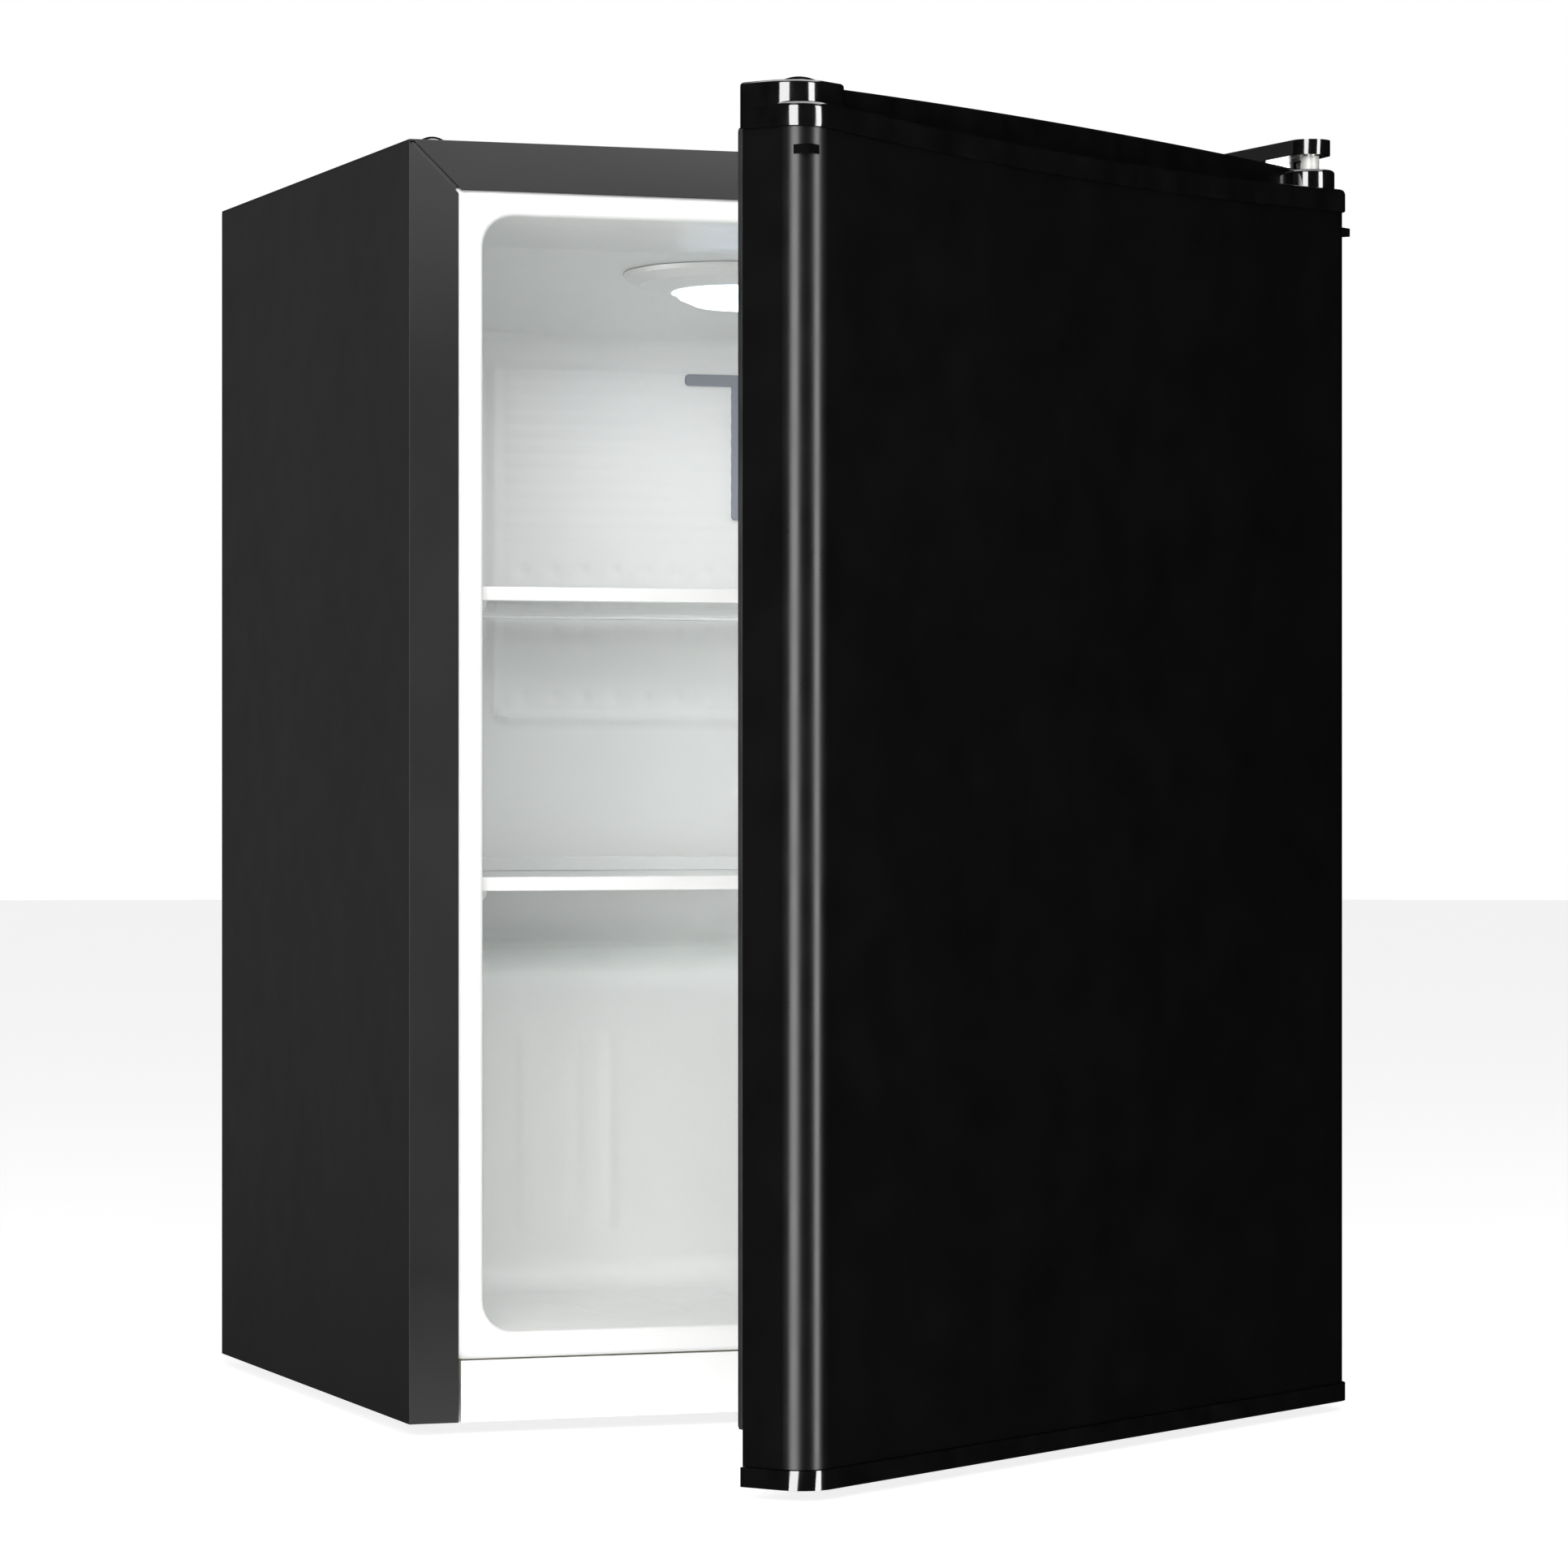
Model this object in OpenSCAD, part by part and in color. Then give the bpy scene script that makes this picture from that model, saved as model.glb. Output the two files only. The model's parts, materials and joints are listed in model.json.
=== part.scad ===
// Table-top refrigerator with a side-hinged door, modelled with the door ajar.
// Cabinet coordinates: x from the left side, y back from the front plane, z up from the steel edge.

/* [Cabinet] */
// Width of the steel cabinet
cabinet_w = 460; // [450:5:480]
// Depth of the steel cabinet, without door and condenser
cabinet_d = 360; // [355:5:380]
// Height of the steel cabinet, without feet and hinge cover
cabinet_h = 600; // [595:5:620]
// Thickness of the folded sheet steel
sheet_t = 1; // [0.8:0.1:1.2]
// Width of the steel flange that frames the front
flange_w = 24; // [22:1:26]
// Gap left at the mitred corners of the front flange
mitre_gap = 1.6; // [0.8:0.2:2]
// Height of the feet below the steel edge
foot_h = 6; // [6:1:10]

/* [Food compartment] */
// Inside distance from the cabinet side to the compartment wall
wall_w = 37; // [35:1:40]
// Height of the compartment floor
floor_z = 41.5; // [40:0.5:44]
// Inside distance from the cabinet top to the compartment ceiling
roof_w = 34; // [33:1:38]
// Depth of the compartment behind the front plane
cavity_d = 315; // [310:1:318]
// Radius of the compartment corners
cavity_r = 15; // [10:1:20]
// Thickness of the plastic liner
liner_t = 2; // [1.5:0.1:2.5]
// Height of the ledge over the compressor bay
ledge_z = 215; // [212:1:225]
// Depth at which the step over the compressor bay starts
step_y = 218; // [210:1:222]
// Drop of the sloping rear ceiling
roof_drop = 32; // [20:1:36]
// Depth at which the ceiling starts to slope
roof_slope_y = 155; // [140:1:170]

/* [Shelves] */
// Underside of the upper shelf trim
upper_shelf_z = 385.6; // [375:0.1:395]
// Underside of the lower shelf trim
lower_shelf_z = 248.5; // [242:0.1:256]
// Height of a shelf trim
shelf_trim_h = 6.4; // [6:0.1:8]
// Thickness of a glass shelf
glass_t = 4; // [3.2:0.1:4.4]
// Distance of the shelf front behind the front plane
shelf_front_y = 14; // [12:1:20]

/* [Door] */
// Angle at which the door stands open
door_open = 35; // [0:1:70]
// Thickness of the door casing
door_t = 35; // [34:1:36]
// Gap between door casing and cabinet, filled by the gasket
gasket_gap = 10; // [10:0.5:12]
// Radius of the vertical front edges of the door
door_r = 14; // [12:1:16]
// Overhang of the plastic end caps
cap_over = 1.5; // [1:0.5:2]
// Length of the solid block at each end of the top cap
cap_block = 32; // [30:1:36]
// Drop of the smiling lip of the top cap at its middle
lip_sag = 5; // [3:0.5:6]
// Floor height of the lowest door rack
bottom_rack_z = 70; // [70:1:90]
// Floor height of the middle door rack
middle_rack_z = 262; // [260:1:290]
// Floor height of the top door rack
top_rack_z = 400; // [398:1:440]
// Height of a door rack wall
rack_h = 48; // [44:1:50]

/* [Hinge] */
// Distance of the hinge axis from the right side
pin_inset = 12; // [12:0.5:13]
// Distance of the hinge axis in front of the cabinet
pin_front = 28; // [27:0.5:29]
// Radius of the hinge pins
pin_r = 3.5; // [3:0.1:3.5]
// Radial running clearance of pins, shafts and stems
run_gap = 0.06; // [0.02:0.01:0.1]

/* [Refrigeration] */
// Radius of the compressor shell
compressor_r = 48; // [44:1:48]
// Height of the compressor shell
compressor_h = 124; // [110:1:126]
// Position of the compressor along the width
compressor_x = 300; // [290:1:320]
// Radius of the condenser tube
coil_r = 2.4; // [2:0.1:2.6]
// Number of straight runs in the condenser tube
coil_runs = 9; // [7:2:11]
// Number of condenser wires on each side of the tube
wire_count = 22; // [16:1:26]

/* [Hidden] */
$fn = 48;

// Small clearances
slip = 0.3;
hair = 0.1;
far = 1000;

// Cabinet levels
flange_top_h = flange_w - 1;
liner_face_y = sheet_t + 1.2;
liner_foot_z = 29.5;
pan_z = 3;
bay_y = step_y + 32;
bay_z = ledge_z - 30;
roof_z = cabinet_h - roof_w;
roof_tilt = atan(roof_drop / (cavity_d - roof_slope_y));
step_r = 24;
fillet_r = 10;

// Hinge axis and door outline, in cabinet coordinates with the door closed
pin_x = cabinet_w - pin_inset;
pin_y = -pin_front;
door_back = -gasket_gap;
door_front = door_back - door_t;
skin_t = 0.8;
skin_foot_z = 7.6;
skin_top_z = cabinet_h - 20;
cap_r = door_r + cap_over;
cap_front = door_front - cap_over;
cap_top_z = cabinet_h - 2;
cap_foot_z = -1;
cap_plug_z = cabinet_h - 34;
lip_mid_z = cabinet_h - 16.2;
lip_h = 11;
lip_back = cap_front + 6.5;
cap_step_z = cabinet_h - 11.6;
block_front = cap_front + 4;
block_r = 17;
block_inner_r = 4;
boss_r = 12.1;
slot_w = 2.5;
grip_back = -26;
grip_floor_z = cabinet_h - 30;
sag_r = (pow(cabinet_w / 2, 2) + pow(lip_sag, 2)) / (2 * lip_sag);
arch_h = 3;
arch_r = (pow(cabinet_w / 2, 2) + pow(arch_h, 2)) / (2 * arch_h);

// Door liner: raised dyke around a recess that takes the racks
dyke_u = 50;
dyke_w = 14;
dyke_foot_z = 52;
dyke_top_z = cabinet_h - 44;
dyke_rise = 8;
recess_floor = -20;
door_liner_t = 1.8;
rack_t = 2.2;
rack_back = recess_floor + 1;
rack_front = 48;
rack_r = 30;
rack_side = dyke_u + dyke_w + 1.2;

// Rear
coil_y = cabinet_d + 20;
rear_y = coil_y + coil_r + 2;

// The origin lies under the middle of the whole object with its door ajar
corner_in = cap_r - cap_over;
function swing_x(u, v) = pin_x + (u - pin_x) * cos(door_open) - (v - pin_y) * sin(door_open);
function swing_y(u, v) = pin_y + (u - pin_x) * sin(door_open) + (v - pin_y) * cos(door_open);
right_x = swing_x(cabinet_w - corner_in, cap_front + cap_r) + cap_r;
front_y = swing_y(corner_in, cap_front + cap_r) - cap_r;
centre_x = right_x / 2;
centre_y = (rear_y + front_y) / 2;

module place() {
    translate([-centre_x, -centre_y, foot_h]) children();
}

module door_place() {
    place() translate([pin_x, pin_y, 0]) rotate([0, 0, door_open])
        translate([-pin_x, -pin_y, 0]) children();
}

module block(x0, x1, y0, y1, z0, z1) {
    translate([x0, y0, z0]) cube([x1 - x0, y1 - y0, z1 - z0]);
}

module rect(x0, x1, y0, y1) {
    translate([x0, y0]) square([x1 - x0, y1 - y0]);
}

// Rectangle with round corners
module rrect(x0, x1, y0, y1, r) {
    rect(x0 + r, x1 - r, y0, y1);
    rect(x0, x1, y0 + r, y1 - r);
    for (x = [x0 + r, x1 - r], y = [y0 + r, y1 - r]) translate([x, y]) circle(r);
}

// Rectangle whose two corners at low y are round
module front_round(x0, x1, y0, y1, r) {
    rect(x0 + r, x1 - r, y0, y1);
    rect(x0, x1, y0 + r, y1);
    for (x = [x0 + r, x1 - r]) translate([x, y0 + r]) circle(r);
}

// Rectangle whose two corners at high y are round
module back_round(x0, x1, y0, y1, r) {
    rect(x0 + r, x1 - r, y0, y1);
    rect(x0, x1, y0, y1 - r);
    for (x = [x0 + r, x1 - r]) translate([x, y1 - r]) circle(r);
}

// Extrusions of an x-z outline along y, a y-z outline along x, an x-y outline along z
module along_y(y0, y1) {
    translate([0, y1, 0]) rotate([90, 0, 0]) linear_extrude(y1 - y0) children();
}
module along_x(x0, x1) {
    translate([x0, 0, 0]) rotate([90, 0, 90]) linear_extrude(x1 - x0) children();
}
module along_z(z0, z1) {
    translate([0, 0, z0]) linear_extrude(z1 - z0) children();
}

module rod(x, y, z0, z1, r) {
    translate([x, y, z0]) cylinder(h = z1 - z0, r = r);
}

module mirror_sides() {
    children();
    translate([cabinet_w, 0, 0]) mirror([1, 0, 0]) children();
}

// Tube through a list of points whose legs run along the axes, with round elbows
module tube_path(points, r, bend) {
    last = len(points) - 1;
    for (i = [0 : last - 1]) {
        d = points[i + 1] - points[i];
        along = d / norm(d);
        start = points[i] + (i == 0 ? 0 : bend) * along;
        end = points[i + 1] - (i + 1 == last ? 0 : bend) * along;
        flat = norm([d[0], d[1]]);
        translate(start) rotate([0, atan2(flat, d[2]), atan2(d[1], d[0])])
            cylinder(h = norm(end - start), r = r, $fn = 24);
    }
    for (i = [1 : last - 1]) {
        before = points[i] - points[i - 1];
        after = points[i + 1] - points[i];
        y = before / norm(before);
        x = -after / norm(after);
        z = cross(x, y);
        c = points[i] - bend * (x + y);
        multmatrix([[x[0], y[0], z[0], c[0]], [x[1], y[1], z[1], c[1]], [x[2], y[2], z[2], c[2]]])
            rotate_extrude(angle = 90, $fn = 48) translate([bend, 0]) circle(r, $fn = 24);
    }
}

// ---- Steel cabinet ----

module side_wall() {
    difference() {
        along_z(0, cabinet_h - sheet_t) {
            rect(0, sheet_t, 0, cabinet_d);
            rect(0, flange_w, 0, sheet_t);
            rect(0, 10, cabinet_d - 2 * sheet_t, cabinet_d - sheet_t);
        }
        along_y(-1, sheet_t + hair) polygon([
            [-1, cabinet_h - mitre_gap],
            [0, cabinet_h - mitre_gap],
            [flange_w + 1, cabinet_h - mitre_gap - (flange_w + 1) * flange_top_h / flange_w],
            [flange_w + 1, cabinet_h + 1],
            [-1, cabinet_h + 1]]);
    }
}

module side_panel_left() {
    color("#2b2b2b") place() side_wall();
}

module side_panel_right() {
    color("#2b2b2b") place() difference() {
        translate([cabinet_w, 0, 0]) mirror([1, 0, 0]) side_wall();
        block(cabinet_w - flange_w - 1, cabinet_w - 2, -1, sheet_t + 1, -1, pan_z + slip);
    }
}

hinge_screw_spots = [[cabinet_w - 15, 24], [cabinet_w - 15, 48]];
lower_screw_spots = [[cabinet_w - 46, 22], [cabinet_w - 46, 40]];

module top_panel() {
    color("#2b2b2b") place() difference() {
        union() {
            block(0, cabinet_w, 0, cabinet_d, cabinet_h - sheet_t, cabinet_h);
            along_y(0, sheet_t) polygon([
                [mitre_gap, cabinet_h],
                [cabinet_w - mitre_gap, cabinet_h],
                [cabinet_w - flange_w - mitre_gap, cabinet_h - flange_top_h],
                [flange_w + mitre_gap, cabinet_h - flange_top_h]]);
        }
        for (s = hinge_screw_spots) rod(s[0], s[1], cabinet_h - 5, cabinet_h + 1, 2.2);
    }
}

module back_panel() {
    color("#2b2b2b") place()
        block(sheet_t + slip, cabinet_w - sheet_t - slip, cabinet_d - sheet_t, cabinet_d,
            bay_z + sheet_t, cabinet_h - sheet_t);
}

module bay_panel() {
    color("#9aa0a3") place() difference() {
        union() {
            block(sheet_t, cabinet_w - sheet_t, bay_y, cabinet_d - 2 * sheet_t, bay_z, bay_z + sheet_t);
            block(sheet_t, cabinet_w - sheet_t, bay_y, bay_y + sheet_t, pan_z, bay_z);
        }
        rod(compressor_x, drain_y, bay_z - 1, bay_z + 2, 7);
        for (x = tube_pass_x) rod(x, tube_pass_y, bay_z - 1, bay_z + 2, 3);
        for (x = [0, cabinet_w - 10 - slip])
            block(x, x + 10 + slip, cabinet_d - 2 * sheet_t - slip, cabinet_d, bay_z - 1, bay_z + 2);
    }
}

foot_x = 36;
foot_y = 90;
stem_r = 4;

module base_pan() {
    color("#9aa0a3") place() difference() {
        union() {
            block(sheet_t, cabinet_w - sheet_t, 5, bay_y, pan_z, pan_z + sheet_t);
            block(sheet_t, cabinet_w - sheet_t, 5, 5 + sheet_t, pan_z, 20);
            mirror_sides() rod(foot_x, foot_y, pan_z, pan_z + 7, 7);
        }
        mirror_sides() rod(foot_x, foot_y, pan_z - 1, pan_z + 8, stem_r + run_gap);
        for (s = lower_screw_spots) rod(s[0], s[1], pan_z - 1, pan_z + 2, 2.2);
    }
}

module corner_gussets() {
    reach = 40;
    color("#0c0c0c") place() mirror_sides()
        along_y(sheet_t + hair, sheet_t + 1) {
            rect(sheet_t + slip, flange_w - 1, cabinet_h - reach, cabinet_h - sheet_t - slip);
            rect(sheet_t + slip, reach, cabinet_h - flange_top_h + 1, cabinet_h - sheet_t - slip);
        }
}

module kick_plate() {
    gap = 1.4;
    left = flange_w + gap;
    color("#eeeeec") place() difference() {
        block(left, cabinet_w - left, 0.4, 4.8, 0, liner_foot_z - 0.7);
        block(left + 2, cabinet_w - left - 2, 2.4, 6, 2, liner_foot_z - 2.7);
    }
}

module hinge_hole_plug() {
    color("#101010") place() translate([14.5, 12, cabinet_h])
        rotate_extrude() intersection() {
            translate([0, -7.3]) circle(10);
            square([6.5, 4]);
        }
}

// ---- Food compartment ----

// Front outline of the compartment, grown outwards by d
module cavity_front(d) {
    rrect(wall_w - d, cabinet_w - wall_w + d, floor_z - d, roof_z + d, cavity_r + d);
}

// Plan of the compartment with round rear corners
module cavity_plan(d) {
    back_round(wall_w - d, cabinet_w - wall_w + d, -5, cavity_d + d, cavity_r + d);
}

// Side outline of the compartment, with the sloping rear ceiling and the step over the bay
module cavity_side(d) {
    back = cavity_d + d;
    face = step_y + d;
    foot = floor_z - d;
    top = ledge_z - d;
    r = step_r - d;
    f = fillet_r + d;
    difference() {
        polygon([[-5, foot], [back, foot], [back, roof_z - roof_drop + d],
            [roof_slope_y, roof_z + d], [-5, roof_z + d]]);
        rect(face + r, far, foot - 1, top);
        rect(face, far, foot - 1, top - r);
        translate([face + r, top - r]) circle(r);
        difference() {
            rect(face - f, face + 1, foot - 1, foot + f);
            translate([face - f, foot + f]) circle(f);
        }
        difference() {
            rect(back - f, back + 1, top - 1, top + f);
            translate([back - f, top + f]) circle(f);
        }
    }
}

module cavity(d) {
    intersection() {
        along_y(-4, cavity_d + 10) cavity_front(d);
        along_x(wall_w - 10, cabinet_w - wall_w + 10) cavity_side(d);
        along_z(0, cabinet_h) cavity_plan(d);
    }
}

drain_y = 296;
// Evaporator plate behind the rear wall, and the tubes that reach it
plate_x0 = 90;
plate_x1 = cabinet_w - 90;
plate_y = cavity_d + liner_t + slip;
plate_t = 1.5;
plate_z0 = 238;
plate_z1 = roof_z - roof_drop - 12;
tube_pass_y = plate_y + plate_t + 4;
tube_pass_x = [180, 200];
tube_end_z = plate_z0 + 30;
runner_w = 10;
runner_h = 7;
runner_edge_r = 3;
runner_y0 = 30;
runner_y1 = 286;
rib_r = 8;
rib_rise = 2;
floor_ribs = [115, 160, 205, 255, 300, 345];
flutes = [123, 150, 168, cabinet_w - 168, cabinet_w - 150, cabinet_w - 123];

module shelf_runner(glass_z) {
    foot = glass_z - runner_h;
    inner = wall_w + runner_w - runner_edge_r;
    along_y(runner_y0, runner_y1) {
        rect(wall_w - 1, inner, foot, glass_z - hair);
        rect(wall_w - 1, wall_w + runner_w, foot + runner_edge_r, glass_z - hair);
        translate([inner, foot + runner_edge_r]) circle(runner_edge_r);
    }
}

module inner_liner() {
    color("#f0f0ee") place() difference() {
        union() {
            difference() {
                union() {
                    intersection() {
                        cavity(liner_t);
                        block(0, cabinet_w, liner_face_y, far, 0, cabinet_h);
                    }
                    block(flange_w - 2, cabinet_w - flange_w + 2, liner_face_y,
                        liner_face_y + liner_t, liner_foot_z, cabinet_h - flange_top_h + 2);
                }
                cavity(0);
            }
            mirror_sides() {
                shelf_runner(upper_shelf_z + 1.4);
                shelf_runner(lower_shelf_z + 1.4);
            }
            for (x = floor_ribs)
                along_y(78, 150) intersection() {
                    translate([x, floor_z + rib_rise - rib_r]) circle(rib_r);
                    rect(x - rib_r, x + rib_r, floor_z - 1, floor_z + rib_rise + 1);
                }
            for (x = flutes)
                along_z(70, 176) intersection() {
                    translate([x, step_y - rib_rise + rib_r]) circle(rib_r);
                    rect(x - rib_r, x + rib_r, step_y - rib_rise - 1, step_y + 1);
                }
        }
        rod(compressor_x, drain_y, ledge_z - 5, ledge_z + 5, 6);
    }
}

module cabinet_foam() {
    color("#e8dfa8") place() difference() {
        block(sheet_t + slip, cabinet_w - sheet_t - slip, 6.5, cabinet_d - 2 * sheet_t - slip,
            pan_z + sheet_t + slip, cabinet_h - sheet_t - slip);
        cavity(liner_t + slip);
        block(-1, cabinet_w + 1, bay_y - slip, far, -1, bay_z + sheet_t + slip);
        block(cabinet_w - 70, cabinet_w, 0, 66, cabinet_h - 14, cabinet_h);
        block(cabinet_w - 70, cabinet_w, 0, 66, 0, 16);
        mirror_sides() rod(foot_x, foot_y, 0, 28, 8);
        block(plate_x0 - slip, plate_x1 + slip, cavity_d, plate_y + plate_t + slip,
            plate_z0 - slip, plate_z1 + slip);
        rod(compressor_x, drain_y, 0, ledge_z, 7);
        for (x = tube_pass_x) rod(x, tube_pass_y, 0, tube_end_z + 1, 3);
    }
}

module evaporator_plate() {
    color("#b9bcbe") place() {
        block(plate_x0, plate_x1, plate_y, plate_y + plate_t, plate_z0, plate_z1);
    }
}

module shelf_glass(trim_z) {
    place() block(wall_w + 1.5, cabinet_w - wall_w - 1.5, shelf_front_y + 3, 298,
        trim_z + 1.4, trim_z + 1.4 + glass_t);
}

// Channel trims that grip the front and rear edges of a glass shelf
module shelf_trim(trim_z) {
    x0 = wall_w + 1;
    x1 = cabinet_w - wall_w - 1;
    place() difference() {
        union() {
            block(x0, x1, shelf_front_y, shelf_front_y + 11, trim_z, trim_z + shelf_trim_h);
            block(x0 + 12, x1 - 12, 290, 302, trim_z, trim_z + shelf_trim_h + 6);
        }
        block(x0 - 1, x1 + 1, shelf_front_y + 3, 298, trim_z + 1.4, trim_z + 1.4 + glass_t);
    }
}

module upper_shelf_glass() {
    color("#c9d6d2", 0.5) shelf_glass(upper_shelf_z);
}
module upper_shelf_trim() {
    color("#f4f4f2") shelf_trim(upper_shelf_z);
}
module lower_shelf_glass() {
    color("#c9d6d2", 0.5) shelf_glass(lower_shelf_z);
}
module lower_shelf_trim() {
    color("#f4f4f2") shelf_trim(lower_shelf_z);
}

// ---- Lamp under the sloping ceiling ----

lamp_y = 190;
lamp_z = roof_z - (lamp_y - roof_slope_y) * tan(roof_tilt);
lamp_half_w = 63;
lamp_half_d = 26;
lens_half_w = 38;
lens_half_d = 16;

module lamp_place() {
    place() translate([cabinet_w / 2, lamp_y, lamp_z]) rotate([-roof_tilt, 0, 0]) children();
}

// Elliptic disc at a depth below the ceiling
module oval(half_w, half_d, depth) {
    translate([0, 0, -depth]) scale([half_w, half_d, 1]) cylinder(h = 0.2, r = 1, $fn = 64);
}

module lamp_housing() {
    color("#f2f3f3") lamp_place() difference() {
        hull() {
            oval(lamp_half_w, lamp_half_d, 0.6);
            oval(lamp_half_w - 1, lamp_half_d - 0.5, 3);
            oval(lamp_half_w - 8, lamp_half_d - 3, 6.5);
            oval(lens_half_w + 2, lens_half_d + 2, 10);
        }
        hull() {
            oval(lamp_half_w - 6, lamp_half_d - 4, -1);
            oval(lens_half_w, lens_half_d, 7.6);
        }
        translate([0, 0, -12]) scale([lens_half_w, lens_half_d, 1])
            cylinder(h = 6, r = 1, $fn = 64);
    }
}

module lamp_lens() {
    lip = 0.4;
    color("#e6f2ff") lamp_place() difference() {
        hull() {
            oval(lens_half_w - lip, lens_half_d - lip, 9);
            oval(lens_half_w - 4, lens_half_d - 2, 13);
            oval(lens_half_w - 12, lens_half_d - 6, 16.5);
            oval(lens_half_w - 24, lens_half_d - 11, 18);
        }
        hull() {
            oval(lens_half_w - 2.4, lens_half_d - 2.4, 8);
            oval(lens_half_w - 14, lens_half_d - 8, 14.5);
        }
    }
}

module led_board() {
    color("#1f7a45") lamp_place() {
        translate([-24, -7, -4]) cube([48, 14, 1.6]);
        for (x = [-16, 0, 16]) translate([x - 2, -2, -5.2]) cube([4, 4, 1.2]);
    }
}

module sensor_bracket() {
    color("#a9acba") place() along_y(cavity_d - 3, cavity_d - 0.2) {
        rrect(241, 323, 511, 517, 2);
        rrect(267, 297, 440, 514, 2);
    }
}

// ---- Thermostat and door switch on the right wall ----

wall_x = cabinet_w - wall_w;
dial_y = 110;
dial_z = 497;
dial_r = 16;
dial_shaft_r = 3;

module thermostat_housing() {
    face = wall_x - 22;
    color("#ececea") place() difference() {
        along_x(face, wall_x - 0.2) rrect(68, 152, 468, 526, 8);
        along_x(face + 2, wall_x + 1) rrect(70, 150, 470, 524, 6);
        translate([face - 1, dial_y, dial_z]) rotate([0, 90, 0])
            cylinder(h = 6, r = dial_shaft_r + run_gap);
    }
}

module thermostat_knob() {
    face = wall_x - 22.5;
    color("#d8d8d6") place() translate([face, dial_y, dial_z]) rotate([0, -90, 0]) {
        cylinder(h = 4, r = dial_r);
        cylinder(h = 9, r = dial_r - 3);
        translate([-(dial_r - 4), -2.5, 0]) cube([2 * (dial_r - 4), 5, 12]);
        translate([0, 0, -12]) cylinder(h = 12, r = dial_shaft_r);
    }
}

plunger_x = wall_x - 17;
plunger_z = 518;
plunger_r = 4;

module door_switch_housing() {
    color("#ececea") place() difference() {
        along_y(14, 46) rrect(wall_x - 25, wall_x - 0.2, plunger_z - 13, plunger_z + 13, 4);
        translate([plunger_x, 36, plunger_z]) rotate([90, 0, 0])
            cylinder(h = 30, r = plunger_r + run_gap);
    }
}

module door_switch_plunger() {
    color("#fafafa") place() {
        translate([plunger_x, 30, plunger_z]) rotate([90, 0, 0])
            cylinder(h = 30 - dyke_rise - 2.4, r = plunger_r);
        translate([plunger_x, dyke_rise + 2.4, plunger_z]) rotate([90, 0, 0])
            cylinder(h = 2, r1 = plunger_r, r2 = plunger_r - 1.5);
    }
}

// ---- Hinges ----

module cover_outline(inset) {
    translate([pin_x, pin_y]) circle(9.8 - inset);
    polygon([[pin_x - 9.8 + inset, pin_y], [pin_x + 9.8 - inset, pin_y],
        [pin_x + 9.8 - inset, 64 - inset], [pin_x - 18 + inset, 64 - inset],
        [pin_x - 16.5 + inset, 44]]);
}

module upper_hinge_cover() {
    color("#0a0a0a") place() difference() {
        union() {
            along_z(cabinet_h + 5.4, cabinet_h + 12.8) cover_outline(0);
            intersection() {
                along_z(cabinet_h, cabinet_h + 12.8) cover_outline(0);
                block(0, far, 1, far, 0, far);
            }
        }
        along_z(cabinet_h - 1, cabinet_h + 11.3) intersection() {
            cover_outline(1.5);
            rect(0, far, -far, 62);
        }
    }
}

module upper_hinge_bracket() {
    arm = 7.8;
    color("#6f7376") place() difference() {
        union() {
            block(pin_x - 11, pin_x + arm, 8, 58, cabinet_h, cabinet_h + 2.5);
            block(pin_x - arm, pin_x + arm, 8, 10.5, cabinet_h, cabinet_h + 8.5);
            along_z(cabinet_h + 6, cabinet_h + 8.5) {
                translate([pin_x, pin_y]) circle(arm);
                rect(pin_x - arm, pin_x + arm, pin_y, 10.5);
            }
        }
        rod(pin_x, pin_y, cabinet_h, cabinet_h + 10, pin_r + 0.02);
        for (s = hinge_screw_spots) rod(s[0], s[1], cabinet_h - 1, cabinet_h + 4, 2.2);
    }
}

module upper_hinge_pin() {
    color("#b4b7ba") place() {
        rod(pin_x, pin_y, cabinet_h - 14, cabinet_h + 8.5, pin_r);
        rod(pin_x, pin_y, cabinet_h + 8.5, cabinet_h + 10, 5.5);
    }
}

module lower_hinge_bracket() {
    color("#6f7376") place() difference() {
        along_z(0.2, pan_z - hair) {
            translate([pin_x, pin_y]) circle(9);
            rect(pin_x - 9, pin_x + 9, pin_y, 50);
            rect(pin_x - 42, pin_x + 9, 12, 50);
        }
        rod(pin_x, pin_y, -1, 5, pin_r + 0.02);
        for (s = lower_screw_spots) rod(s[0], s[1], -1, 5, 2.2);
    }
}

module lower_hinge_pin() {
    color("#b4b7ba") place() rod(pin_x, pin_y, 0.2, 18, pin_r);
}

module hinge_screws() {
    color("#8d9093") place() {
        for (s = hinge_screw_spots) {
            rod(s[0], s[1], cabinet_h - 10, cabinet_h + 2.5, 2);
            rod(s[0], s[1], cabinet_h + 2.5, cabinet_h + 5, 4);
        }
        for (s = lower_screw_spots) {
            rod(s[0], s[1], 0.2, 13, 2);
            rod(s[0], s[1], -1.6, 0.2, 4);
        }
    }
}

// ---- Feet ----

module foot_pad(x) {
    place() translate([x, foot_y, -foot_h]) rotate_extrude() {
        square([12, 3]);
        square([13.5, 2]);
    }
}

module foot_screw(x) {
    place() translate([x, foot_y, -foot_h + 3 + hair]) {
        difference() {
            cylinder(h = 4, r = 11);
            for (a = [0 : 30 : 330]) rotate([0, 0, a]) translate([12, 0, -1]) cylinder(h = 6, r = 2.2);
        }
        cylinder(h = 22, r = stem_r);
    }
}

module foot_pad_left() {
    color("#1a1a1a") foot_pad(foot_x);
}
module foot_pad_right() {
    color("#1a1a1a") foot_pad(cabinet_w - foot_x);
}
module foot_screw_left() {
    color("#2f2f2f") foot_screw(foot_x);
}
module foot_screw_right() {
    color("#2f2f2f") foot_screw(cabinet_w - foot_x);
}

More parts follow.
